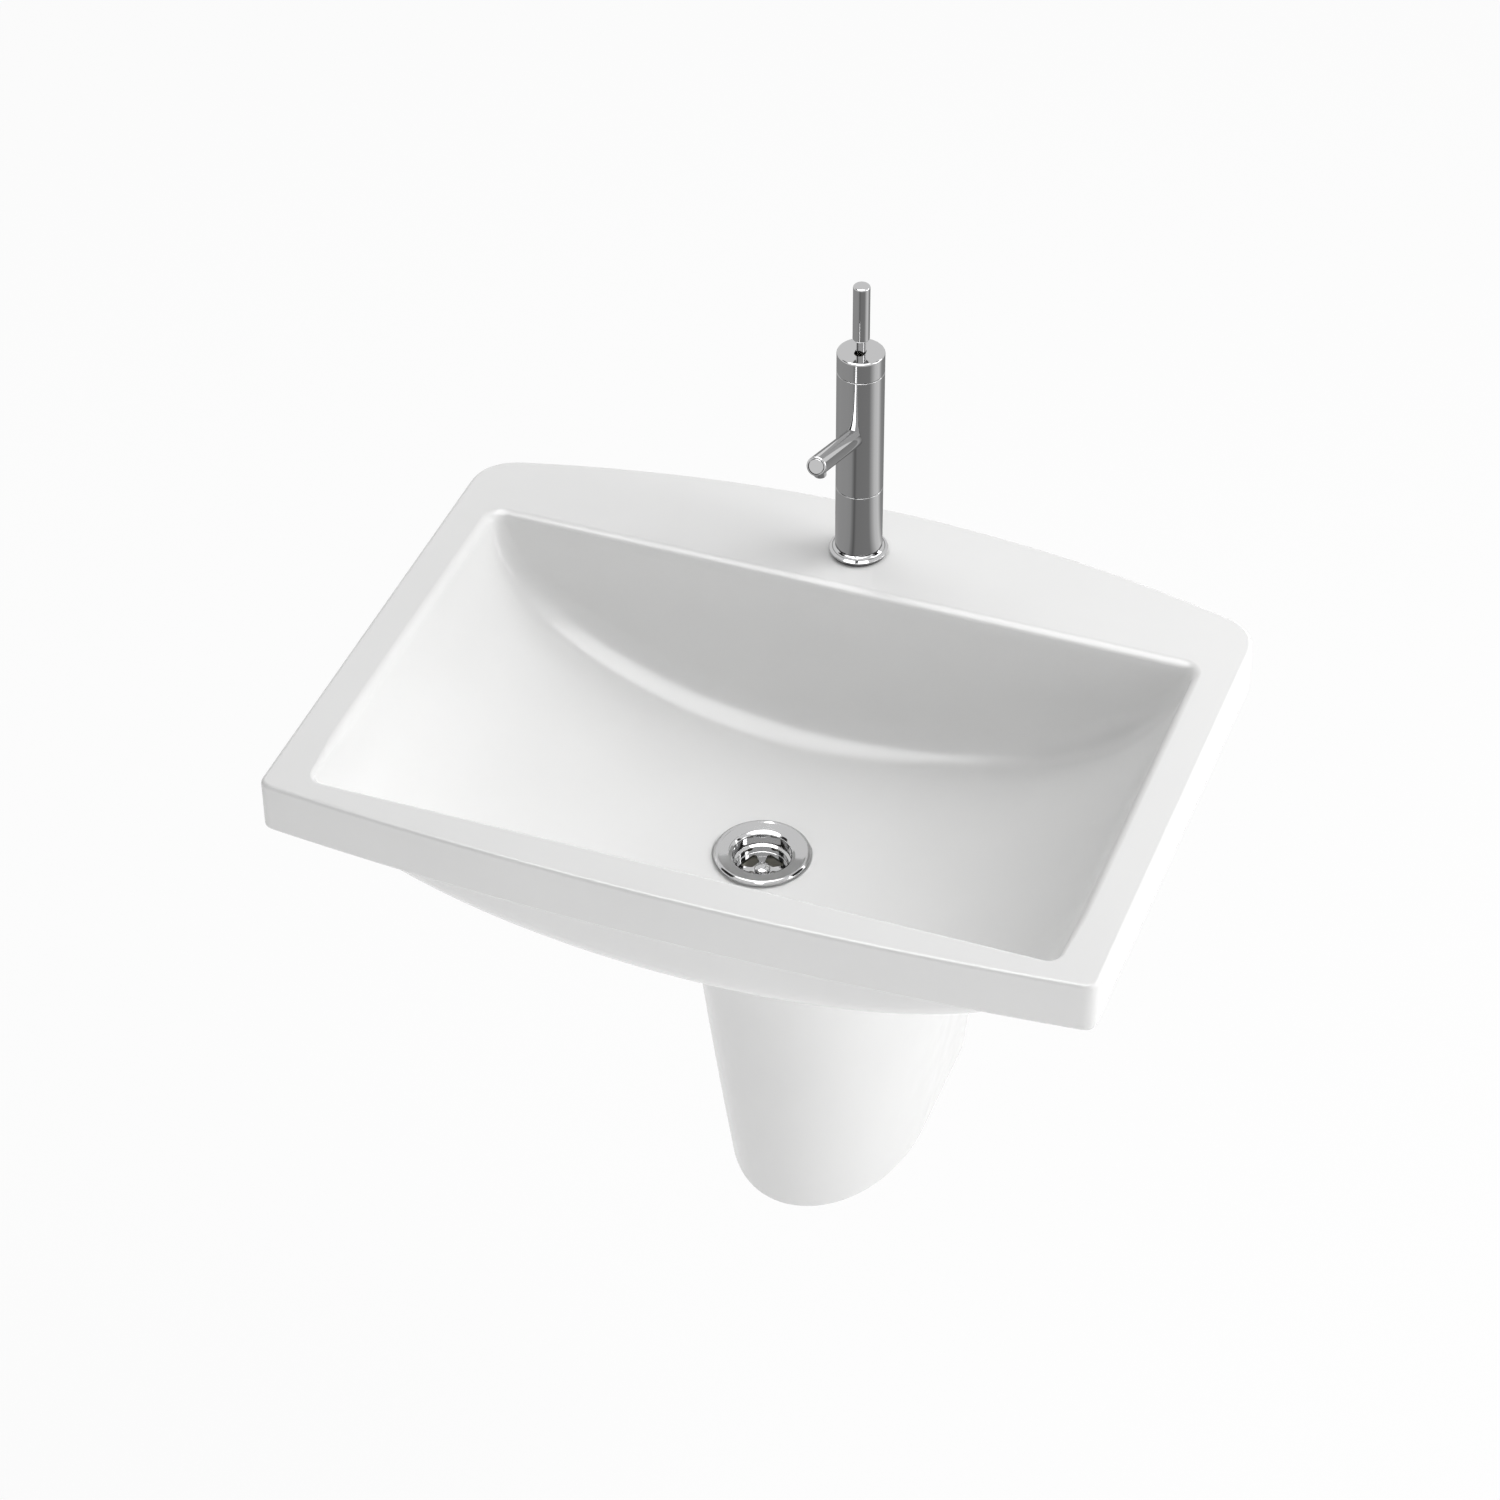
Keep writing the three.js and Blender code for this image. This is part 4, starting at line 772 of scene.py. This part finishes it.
def make_waste_flange():
    """A dished flange with a rolled edge, a cup with a ledge, and a strainer with four holes."""
    cup_low, top = span("waste_flange")
    base = FLOOR_Z + 1.6
    cup = WASTE_HOLE_RADIUS - 0.6
    inner = cup - 1.2
    ledge = inner - 2.2
    edge = WASTE_FLANGE_RADIUS
    ledge_z = FLOOR_Z - 8
    strainer = cup_low + 2
    flange = turned("flange", [
        (STRAINER_HUB, cup_low), (cup, cup_low), (cup, base), (edge, base), (edge, top - 1.6, 1.0),
        (edge - 2.0, top, 1.6), (edge - 4.2, top - 0.5, 3.0), (inner + 2.4, top - 1.9, 4.0),
        (inner, top - 3.4, 1.4), (inner, ledge_z + 1, 0.6), (ledge, ledge_z, 0.4),
        (ledge, strainer, 0.6), (STRAINER_HUB, strainer)], FINE_ROUND)
    outline = sector(HOLE_INNER, HOLE_OUTER, HOLE_HALF_ANGLE, HOLE_CORNER)
    holes = []
    for k in range(4):
        hole = prism("hole", outline, cup_low - OVER, strainer + OVER)
        angle = STRAINER_TURN + (k + 0.5) * pi / 2
        holes.append(moved(hole, turn=Matrix.Rotation(angle, 4, "Z")))
    return moved(cut(flange, *holes), y=WASTE_Y)


def make_waste_screw():
    low, high = span("waste_screw")
    head = radius_of("waste_screw")
    shank, dome_height = 3.9, 1.9
    under = high - 3
    dome = [(head * sin(a), high - dome_height * (1 - cos(a))) for a in np.linspace(pi / 2, 0, 10)]
    return moved(turned("waste_screw", [
        (0, low), (shank, low, 0.5), (shank, under), (head, under, 0.3), *dome]), y=WASTE_Y)


# ---- Fixings, seals and pipes ----
def meridian(node, axis):
    """(radius, height) outline of a turned CAD node about axis 1 (Y) or 2 (Z), in order, from its mesh.

    Two corners are neighbours on it where an edge joins them in one plane through the axis.
    """
    mesh = NODES[node].data
    centre = middle(node)
    across = [k for k in range(3) if k != axis]
    points = np.array([v.co for v in mesh.vertices]) / MM
    flat = points[:, across] - centre[across]
    radius = np.hypot(flat[:, 0], flat[:, 1])
    angle = np.arctan2(flat[:, 1], flat[:, 0])
    keys = [(round(float(r), 2), round(float(h), 2)) for r, h in zip(radius, points[:, axis])]
    neighbours = {}
    for edge in mesh.edges:
        a, b = edge.vertices
        turn = abs(angle[a] - angle[b])
        on_axis = min(radius[a], radius[b]) < 0.01
        if keys[a] == keys[b] or (min(turn, 2 * pi - turn) > 0.01 and not on_axis):
            continue
        neighbours.setdefault(keys[a], set()).add(keys[b])
        neighbours.setdefault(keys[b], set()).add(keys[a])
    ends = [key for key, others in neighbours.items() if len(others) == 1]
    outline = [min(ends) if ends else min(neighbours)]
    while True:
        further = [key for key in sorted(neighbours[outline[-1]]) if key not in outline]
        if not further:
            return outline
        outline.append(further[0])


def refined(node, axis, rounding):
    """A turned CAD node with more segments and softened edges."""
    profile = [(r, h, rounding) if r > 0.01 else (r, h) for r, h in meridian(node, axis)]
    return placed(turned(node, profile), node, axis)


def threaded(name, heights, radii, pitch, segments, rings_a_turn=6):
    """A screwed rod along Z; radii gives its envelope at the heights, and the thread is cut into it."""
    angles = np.linspace(0, 2 * pi, segments, endpoint=False)
    count = int((heights[-1] - heights[0]) / pitch * rings_a_turn)
    rings = []
    for height in np.linspace(heights[0], heights[-1], count):
        phase = (height / pitch - angles / (2 * pi)) % 1
        groove = pitch / 2 * np.clip(np.abs(2 * phase - 1) * 1.3 - 0.15, 0, 1)
        radius = np.minimum(np.interp(height, heights, radii), max(radii) - groove)
        flat = np.column_stack([radius * np.cos(angles), radius * np.sin(angles)])
        rings.append(at_height(flat, height))
    return loft(name, rings)


def make_stud(node, pitch):
    """A hanger bolt: threaded, with a point that goes into the wall."""
    low, high = corners(node)
    radius = (high[0] - low[0]) / 2
    foot, end = low[1], high[1]
    heights = [foot, foot + pitch, end * 0.75, end]
    radii = [radius - pitch, radius, radius, radius * 0.35]
    return placed(threaded(node, heights, radii, pitch, 32), node)


def hex_nut(node, axis, bore):
    """A hexagon nut with turned chamfers, its corners on the same line as the CAD nut's."""
    low, high = corners(node)
    flat = (high[0] - low[0]) / 2
    corner = flat * 2 / sqrt(3)
    foot, top = low[axis], high[axis]
    angles = [pi / 2 + k * pi / 3 for k in range(6)]
    hexagon = prism(node, arc(corner, angles), foot, top)
    rise = (corner - flat) * 0.6
    face = flat * 0.98
    barrel = turned("barrel", [
        (0, foot), (face, foot), (corner, foot + rise), (corner, top - rise), (face, top), (0, top)])
    mouth = bore + 1.8
    hole = turned("hole", [
        (0, foot - 1), (mouth, foot - 1), (bore, foot + 0.8), (bore, top - 0.8), (mouth, top + 1),
        (0, top + 1)])
    return placed(cut(common(hexagon, barrel), hole), node, axis)


def make_union_nut(node, axis):
    """A union nut with shallow grip flutes round it."""
    low, high = corners(node)
    radius, count = 3.2, 16
    centres = max(high - low) / 2 + 2.4
    nut = refined(node, axis, 0.8)
    flutes = []
    for x, y in arc(centres, [(k + 0.5) * 2 * pi / count for k in range(count)]):
        flute = rod(radius, low[axis] + 2.5, high[axis] - 1.2, 24)
        flutes.append(placed(moved(flute, x, y), node, axis))
    return cut(nut, *flutes)


def make_shank():
    """The tap's shank: threaded under the deck, smooth in the sleeve, with two hose sockets."""
    low, high = span("tap_shank")
    pitch = 1.5
    radius = TAP_HOLE_RADIUS - pitch
    neck, core = radius - 0.4, SLEEVE_BORE - SLIP
    shoulder = span("tap_base_ring")[0] - SEAT
    deck = RIM_Z - DECK
    lower = threaded("shank", [low, low + pitch, deck], [radius - pitch, radius, radius], pitch, 64)
    upper = turned("core", [
        (0, deck - 1), (neck, deck - 1), (neck, shoulder, 0.5), (core, shoulder), (core, high, 0.5),
        (0, high)])
    sockets = [moved(rod(4.5, low - OVER, high + OVER, SMALL_ROUND), x) for x in (-7.5, 7.5)]
    return moved(cut(joined(lower, upper), *sockets), y=TAP_Y)


def make_waste_body():
    """The waste's lower body: a flange, a threaded tail, and a bridge that takes the screw."""
    low, high = span("waste_body")
    wide = radius_of("waste_body")
    tail = 20.9
    bore = tail - 2.9
    thread_top, flange_low = high - 12, high - 3
    thread = threaded("waste_body", [low, low + 2, thread_top], [tail - 1.4, tail, tail], 2.3, 72)
    head = turned("head", [
        (0, thread_top - 0.5), (tail, thread_top - 0.5), (tail, flange_low), (wide, flange_low, 0.8),
        (wide, high, 0.6), (0, high)])
    bridge_top = high - 17
    bridge_low = bridge_top - 6
    bar = prism("bar", rectangle(-bore - 1, bore + 1, -3, 3), bridge_low, bridge_top, 0, 1)
    hub = turned("hub", [(0, bridge_low), (7, bridge_low, 0.5), (7, bridge_top, 0.8), (0, bridge_top)])
    shell = cut(joined(thread, head), rod(bore, low - OVER, high + OVER))
    screw_hole = rod(4.3, bridge_low - OVER, bridge_top + OVER)
    return moved(cut(joined(shell, bar, hub), screw_hole), y=WASTE_Y)


TRAP_Y = middle("trap_cup")[1]
PIPE_RADIUS = 16.0
PIPE_WALL = 1.5
PIPE_BEND = 36.0


def make_inlet_pipe():
    """The swan-necked pipe from the waste's tail down into the trap, with a collar at its top."""
    bottom, top = span("trap_inlet_pipe")
    bend_top = top - 5
    run = bend_top - PIPE_BEND
    collar = 20.5
    quarter_turn = np.linspace(0, pi / 2, 19)
    line = [(WASTE_Y, top, 0), (WASTE_Y, top - 1.6, 0)]
    line += [(WASTE_Y + PIPE_BEND * (1 - cos(a)), bend_top - PIPE_BEND * sin(a), a)
             for a in quarter_turn]
    line += [(TRAP_Y - PIPE_BEND * (1 - sin(a)), run - PIPE_BEND * (1 - cos(a)), pi / 2 - a)
             for a in quarter_turn]
    line.append((TRAP_Y, bottom, 0))
    around = np.linspace(0, 2 * pi, 48, endpoint=False)

    def ring(place, radius):
        y, z, turn = place
        out = radius * np.sin(around)
        return np.column_stack([radius * np.cos(around), y + out * cos(turn), z + out * sin(turn)])

    bore = PIPE_RADIUS - PIPE_WALL
    rings = [ring(line[0], bore), ring(line[0], collar), ring(line[1], collar), ring(line[1], PIPE_RADIUS)]
    rings += [ring(place, PIPE_RADIUS) for place in line[2:]]
    rings += [ring(place, bore) for place in line[:1:-1]]
    return loft("inlet_pipe", rings, True)


def make_trap_body():
    """The trap's upper body: a collar for the inlet, one for the outlet, and a thread for the cup."""
    low, high = corners("trap_body")
    radius = TRAP_Y - low[1]
    wall = 2.6
    thread = radius - wall
    bore = thread - wall
    collar = 20.9
    pipe = PIPE_RADIUS + SLIP
    shoulder, bottom = high[2] - 14, low[2] + 12
    shell = turned("trap_body", [
        (bore, low[2]), (thread, low[2], 0.8), (thread, bottom), (radius, bottom, 0.8),
        (radius, shoulder, 4), (collar, shoulder, 1.5), (collar, high[2], 0.8), (pipe, high[2]),
        (pipe, shoulder - wall), (bore, shoulder - wall)])
    outlet = middle("trap_outlet_pipe")[2]
    end = high[1] - TRAP_Y
    branch = turned("branch", [(0, bore), (collar, bore), (collar, end, 0.8), (0, end)])
    keep = rod(bore, low[2], shoulder - wall)
    way = rod(pipe, 0, end + OVER)
    shell = joined(shell, cut(moved(branch, z=outlet, turn=ALONG_Y), keep))
    return moved(cut(shell, moved(way, z=outlet, turn=ALONG_Y)), y=TRAP_Y)


# ---- Materials ----
PATTERN_RANGE = (0.3, 0.7)  # values at which a pattern is at its low and its high end


def feed(tree, node, sockets):
    """Links a node's sockets to other nodes' outputs, or sets them to plain values."""
    for socket, source in sockets.items():
        if isinstance(source, bpy.types.NodeSocket):
            tree.links.new(source, node.inputs[socket])
        else:
            node.inputs[socket].default_value = source
    return node


def add_node(tree, kind, sockets={}):
    return feed(tree, tree.nodes.new(f"ShaderNode{kind}"), sockets)


def new_material(name, color, roughness, metallic=0.0):
    """A Principled material; values that are the same all over sit on the shader's own sockets."""
    material = bpy.data.materials.new(name)
    material.use_nodes = True
    tree = material.node_tree
    feed(tree, tree.nodes["Principled BSDF"], {
        "Base Color": (*color, 1), "Roughness": roughness, "Metallic": metallic})
    return material


def finish(name, color, roughness, metallic=0.0, tones=(), gloss=(), grain=(), stretch=(1, 1, 1)):
    """A material whose colour, roughness and relief vary by patterns, each (scale, detail, low, high).

    A detail of 0 gives cells in place of noise. The relief's last two values are its strength and its
    depth in metres, and stretch draws it out.
    """
    material = new_material(name, color, roughness, metallic)
    tree = material.node_tree
    shader = tree.nodes["Principled BSDF"]

    def pattern(scale, detail, stretched=(1, 1, 1)):
        place = add_node(tree, "TexCoord")
        mapping = add_node(tree, "Mapping", {"Scale": stretched, "Vector": place.outputs["Object"]})
        sockets = {"Scale": scale, "Vector": mapping.outputs["Vector"]}
        if not detail:
            return add_node(tree, "TexVoronoi", sockets).outputs[0]
        return add_node(tree, "TexNoise", {**sockets, "Detail": detail}).outputs[0]

    if tones:
        ramp = add_node(tree, "ValToRGB", {"Fac": pattern(*tones[:2])})
        for stop, position, tone in zip(ramp.color_ramp.elements, PATTERN_RANGE, tones[2:]):
            stop.position = position
            stop.color = (*tone, 1)
        feed(tree, shader, {"Base Color": ramp.outputs["Color"]})
    if gloss:
        low, high = PATTERN_RANGE
        spread = add_node(tree, "MapRange", {
            "Value": pattern(*gloss[:2]), "From Min": low, "From Max": high, "To Min": gloss[2],
            "To Max": gloss[3]})
        feed(tree, shader, {"Roughness": spread.outputs["Result"]})
    if grain:
        bump = add_node(tree, "Bump", {
            "Height": pattern(*grain[:2], stretch), "Strength": grain[2], "Distance": grain[3]})
        feed(tree, shader, {"Normal": bump.outputs["Normal"]})
    return material


MATERIALS = {
    # White glaze: a trace of tone, and the faint swell of a fired surface.
    "china": finish(
        "white_glaze", (0.8, 0.8, 0.797), 0.2,
        tones=(9, 3.0, (0.79, 0.79, 0.787), (0.81, 0.81, 0.806)),
        gloss=(40, 4.0, 0.17, 0.24), grain=(14, 1.0, 0.25, 0.0006)),
    "chrome": finish("chrome_plate", (0.52, 0.52, 0.523), 0.06, 1.0, gloss=(90, 5.0, 0.045, 0.085)),
    # Machined brass: fine tool marks round the piece, and a little tarnish.
    "brass": finish(
        "turned_brass", (0.62, 0.45, 0.19), 0.32, 1.0,
        tones=(60, 6.0, (0.5, 0.36, 0.15), (0.66, 0.5, 0.23)),
        gloss=(300, 3.0, 0.26, 0.4), grain=(30, 2.0, 0.3, 0.0001), stretch=(1, 1, 90)),
    "steel": finish(
        "zinc_steel", (0.55, 0.56, 0.58), 0.36, 1.0,
        tones=(260, 0, (0.47, 0.48, 0.5), (0.62, 0.63, 0.64)), gloss=(220, 4.0, 0.28, 0.46)),
    "rubber": finish(
        "black_rubber", (0.02, 0.02, 0.021), 0.72,
        tones=(120, 5.0, (0.015, 0.015, 0.016), (0.03, 0.03, 0.03)), grain=(1500, 2.0, 0.3, 0.0001)),
    "nylon": finish(
        "moulded_nylon", (0.74, 0.72, 0.65), 0.5,
        tones=(70, 4.0, (0.71, 0.69, 0.62), (0.77, 0.75, 0.69)),
        gloss=(500, 3.0, 0.42, 0.56), grain=(900, 2.0, 0.2, 0.0001)),
    "disc_ceramic": finish(
        "lapped_ceramic", (0.68, 0.66, 0.61), 0.3,
        tones=(400, 6.0, (0.65, 0.63, 0.58), (0.71, 0.69, 0.64)), gloss=(800, 3.0, 0.24, 0.36)),
}

# A CAD node's material is named after its slot in the record.
SLOTS = {node: obj.data.materials[0].name.split(".")[0] for node, obj in NODES.items()}


def show(obj, name, node):
    """Finishes a piece: it stands for a CAD node, takes its finish and rides on its body."""
    smoothed(obj)
    obj.name = name
    slot = SLOTS[node]
    obj.data.materials.clear()
    obj.data.materials.append(MATERIALS[slot])
    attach(obj, NODES[node]["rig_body"])
    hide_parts(node)


show(make_basin(), "glazed_basin", "basin")
show(make_pedestal(), "glazed_pedestal", "semi_pedestal")
show(make_base_ring(), "flared_base_ring", "tap_base_ring")
show(make_sleeve(), "polished_sleeve", "tap_sleeve")
show(make_tap_body(), "polished_body", "tap_body")
show(make_plug(), "polished_plug", "spout_end_plug")
show(make_aerator(), "polished_aerator", "aerator_shell")
show(make_cap(), "polished_cap", "tap_cap")
show(make_lever(), "polished_lever", "lever")
show(make_waste_flange(), "dished_flange", "waste_flange")
show(make_waste_screw(), "domed_screw", "waste_screw")

for side in ("left", "right"):
    for place, pitch in (("basin", 1.5), ("pedestal", 1.25)):
        node = f"{place}_stud_{side}"
        show(make_stud(node, pitch), f"threaded_{node}", node)
    for place, bore in (("basin", 5.4), ("pedestal", 4.4)):
        node = f"{place}_nut_{side}"
        show(hex_nut(node, 1, bore), f"hexagon_{node}", node)
        for kind, rounding in (("bush", 0.6), ("washer", 0.3)):
            node = f"{place}_{kind}_{side}"
            show(refined(node, 1, rounding), f"turned_{node}", node)
show(make_shank(), "threaded_shank", "tap_shank")
show(hex_nut("tap_fixing_nut", 2, 16.4), "hexagon_fixing_nut", "tap_fixing_nut")
show(make_waste_body(), "moulded_waste_body", "waste_body")
show(make_inlet_pipe(), "bent_inlet_pipe", "trap_inlet_pipe")
show(make_trap_body(), "cast_trap_body", "trap_body")
for node, axis in (("trap_tail_nut", 2), ("trap_slip_nut", 2), ("trap_outlet_nut", 1)):
    show(make_union_nut(node, axis), f"fluted_{node}", node)
TURNED_ABOUT_Z = {
    "tap_base_gasket": 0.3, "tap_deck_seal": 0.5, "tap_washer": 0.3, "waste_flange_seal": 0.3,
    "waste_lower_seal": 0.8, "trap_tail_seal": 0.6, "trap_slip_seal": 0.6, "trap_cup_seal": 0.4,
    "trap_cup": 1.0, "cartridge_retainer": 0.4, "aerator_insert": 0.2}
TURNED_ABOUT_Y = {"trap_outlet_seal": 0.6, "trap_outlet_pipe": 0.3, "wall_rosette": 1.2}
for axis, pieces in ((2, TURNED_ABOUT_Z), (1, TURNED_ABOUT_Y)):
    for node, rounding in pieces.items():
        show(refined(node, axis, rounding), f"turned_{node}", node)
for node, obj in NODES.items():
    obj.data.materials[0] = MATERIALS[SLOTS[node]]


# ---- Stage: floor, world, lamps ----
FLOOR_BELOW_RIM = 850  # height of a fitted basin's rim over the floor
FLOOR_HALF = 6000
LAMP_AIM = Vector((0, -0.23, 0))  # in metres
CARD_HALF = 450
FLAG_INNER, FLAG_OUTER = 20.0, 700.0
FLAG_SIDES = 64
FLAG_LIFT = 0.8  # over the deck
AMBIENT = 0.395
WHITE_SHARE = 0.93  # how much of the floor's look is plain white; the rest shows the shadow


def white_rays(tree):
    """1 for camera, glossy and transmission rays, which see the white background; 0 for the rest."""
    rays = add_node(tree, "LightPath").outputs
    total = rays["Is Camera Ray"]
    for name in ("Is Glossy Ray", "Is Transmission Ray"):
        larger = add_node(tree, "Math", {0: total, 1: rays[name]})
        larger.operation = "MAXIMUM"
        total = larger.outputs[0]
    return total


def mix_shaders(tree, share, first, second, output):
    """Gives the output the first shader, and as much of the second as share says."""
    mix = add_node(tree, "MixShader", {"Fac": share, 1: first.outputs[0], 2: second.outputs[0]})
    feed(tree, tree.nodes[output], {"Surface": mix.outputs[0]})


def sheet(name, half):
    """A square sheet that faces up, with its middle at the origin."""
    return add_mesh(name, at_height(rectangle(-half, half, -half, half), 0), [(0, 1, 2, 3)])


def make_world():
    world = bpy.data.worlds.new("studio")
    world.use_nodes = True
    tree = world.node_tree
    light = feed(tree, tree.nodes["Background"], {"Color": (1, 1, 1, 1), "Strength": AMBIENT})
    white = add_node(tree, "Background", {"Color": (1, 1, 1, 1), "Strength": 1})
    mix_shaders(tree, white_rays(tree), light, white, "World Output")
    bpy.context.scene.world = world


def make_floor():
    floor = moved(sheet("floor", FLOOR_HALF), z=RIM_Z - FLOOR_BELOW_RIM)
    material = new_material("pale_floor", (0.75, 0.75, 0.75), 0.9)
    tree = material.node_tree
    shader = feed(tree, tree.nodes["Principled BSDF"], {"Specular IOR Level": 0})
    white = add_node(tree, "Emission", {"Strength": 1})
    share = add_node(tree, "Math", {0: white_rays(tree), 1: WHITE_SHARE})
    share.operation = "MULTIPLY"
    mix_shaders(tree, share.outputs[0], shader, white, "Material Output")
    floor.data.materials.append(material)


def lamp(name, place, size, level, fills=True, glints=True):
    """A square softbox aimed at the basin; level is the tone it alone gives a white face square to it.

    One that doesn't fill only gives highlights, and one that doesn't glint stays out of reflections.
    """
    data = bpy.data.lights.new(name, "AREA")
    data.shape = "SQUARE"
    data.size = size
    data.energy = level * pi ** 2 * (Vector(place) - LAMP_AIM).length_squared
    obj = new_object(name, data)
    obj.location = place
    obj.rotation_euler = (LAMP_AIM - Vector(place)).to_track_quat("-Z", "Y").to_euler()
    obj.visible_camera = False
    obj.visible_diffuse = fills
    obj.visible_glossy = glints


# Tone of the flags by compass direction from the tap, anticlockwise from the wall's left: (turn, tone).
FLAG_TONES = [
    (0.00, 0.45), (0.14, 0.45), (0.20, 0.42), (0.245, 0.16), (0.27, 0.28), (0.42, 0.30),
    (0.50, 0.85), (0.56, 0.95), (0.62, 0.40), (0.72, 0.26), (0.85, 0.30), (1.00, 0.45)]


def only_in_gloss(obj):
    """Hides a card or flag of the studio from all but glossy rays, so it shows in polished faces and
    nowhere else.
    """
    for kind in ("camera", "diffuse", "shadow", "transmission", "volume_scatter"):
        setattr(obj, f"visible_{kind}", False)


def make_black_card(name, place):
    """A black card that faces the tap, and draws dark lines in polished metal."""
    facing = (Vector((0, TAP_Y, RIM_Z)) - Vector(place)).to_track_quat("Z", "Y").to_matrix().to_4x4()
    card = moved(sheet(name, CARD_HALF), *place, facing)
    card.data.materials.append(new_material("black_card", (0.01, 0.01, 0.01), 0.9))
    only_in_gloss(card)


def make_flags():
    """Grey studio flags round the tap, at the deck's level; from below they are clear."""
    angles = np.linspace(0, 2 * pi, FLAG_SIDES, endpoint=False)
    rings = [at_height(arc(radius, angles), 0) for radius in (FLAG_INNER, FLAG_OUTER)]
    faces = bands([range(FLAG_SIDES, 2 * FLAG_SIDES), range(FLAG_SIDES)])
    flags = add_mesh("flags", np.concatenate(rings), faces)
    flags.location = Vector((0, TAP_Y, RIM_Z + FLAG_LIFT)) * MM
    material = bpy.data.materials.new("grey_flags")
    material.use_nodes = True
    tree = material.node_tree
    tree.nodes.remove(tree.nodes["Principled BSDF"])
    place = add_node(tree, "TexCoord")
    compass = add_node(tree, "TexGradient", {"Vector": place.outputs["Object"]})
    compass.gradient_type = "RADIAL"
    ramp = add_node(tree, "ValToRGB", {"Fac": compass.outputs["Fac"]})
    stops = ramp.color_ramp.elements
    for turn, _ in FLAG_TONES[1:-1]:
        stops.new(turn)
    for stop, (_, tone) in zip(stops, FLAG_TONES):
        stop.color = (tone, tone, tone, 1)
    glow = add_node(tree, "Emission", {"Color": ramp.outputs["Color"]})
    clear = add_node(tree, "BsdfTransparent")
    side = add_node(tree, "NewGeometry")
    mix_shaders(tree, side.outputs["Backfacing"], glow, clear, "Material Output")
    flags.data.materials.append(material)
    only_in_gloss(flags)


make_world()
make_floor()
lamp("left_back_softbox", (-1.3, 0.9, 1.9), 1.4, 0.2, glints=False)
lamp("overhead_softbox", (-0.1, -0.45, 2.25), 1.9, 1.15, fills=False)
lamp("right_back_softbox", (2.3, 0.5, 1.3), 2.0, 0.6)
lamp("top_back_softbox", (1.3, 1.0, 2.0), 1.4, 0.26, glints=False)
lamp("right_low_softbox", (2.5, -0.5, 0.35), 1.2, 0.15, glints=False)
lamp("front_low_softbox", (0.2, -2.4, -0.3), 1.4, 0.33, glints=False)
make_flags()
make_black_card("left_card", (-1500, -700, 1450))
make_black_card("right_card", (1590, 470, 1450))

# ---- Camera ----
CAMERA_PLACE = Vector((0.83976, -2.50003, 2.06970))
CAMERA_AZIMUTH = 0.3619
CAMERA_ELEVATION = 0.6984
CAMERA_ROLL = -0.0078
camera_data = bpy.data.cameras.new("camera")
camera_data.lens = 107.05
camera = new_object("camera", camera_data)
turn = Matrix.Rotation(CAMERA_AZIMUTH, 4, "Z") @ Matrix.Rotation(pi / 2 - CAMERA_ELEVATION, 4, "X")
roll = Matrix.Rotation(CAMERA_ROLL, 4, "Z")
camera.matrix_world = Matrix.Translation(CAMERA_PLACE) @ turn @ roll
bpy.context.scene.camera = camera
bpy.context.scene.view_settings.view_transform = "Standard"

bpy.context.view_layer.update()
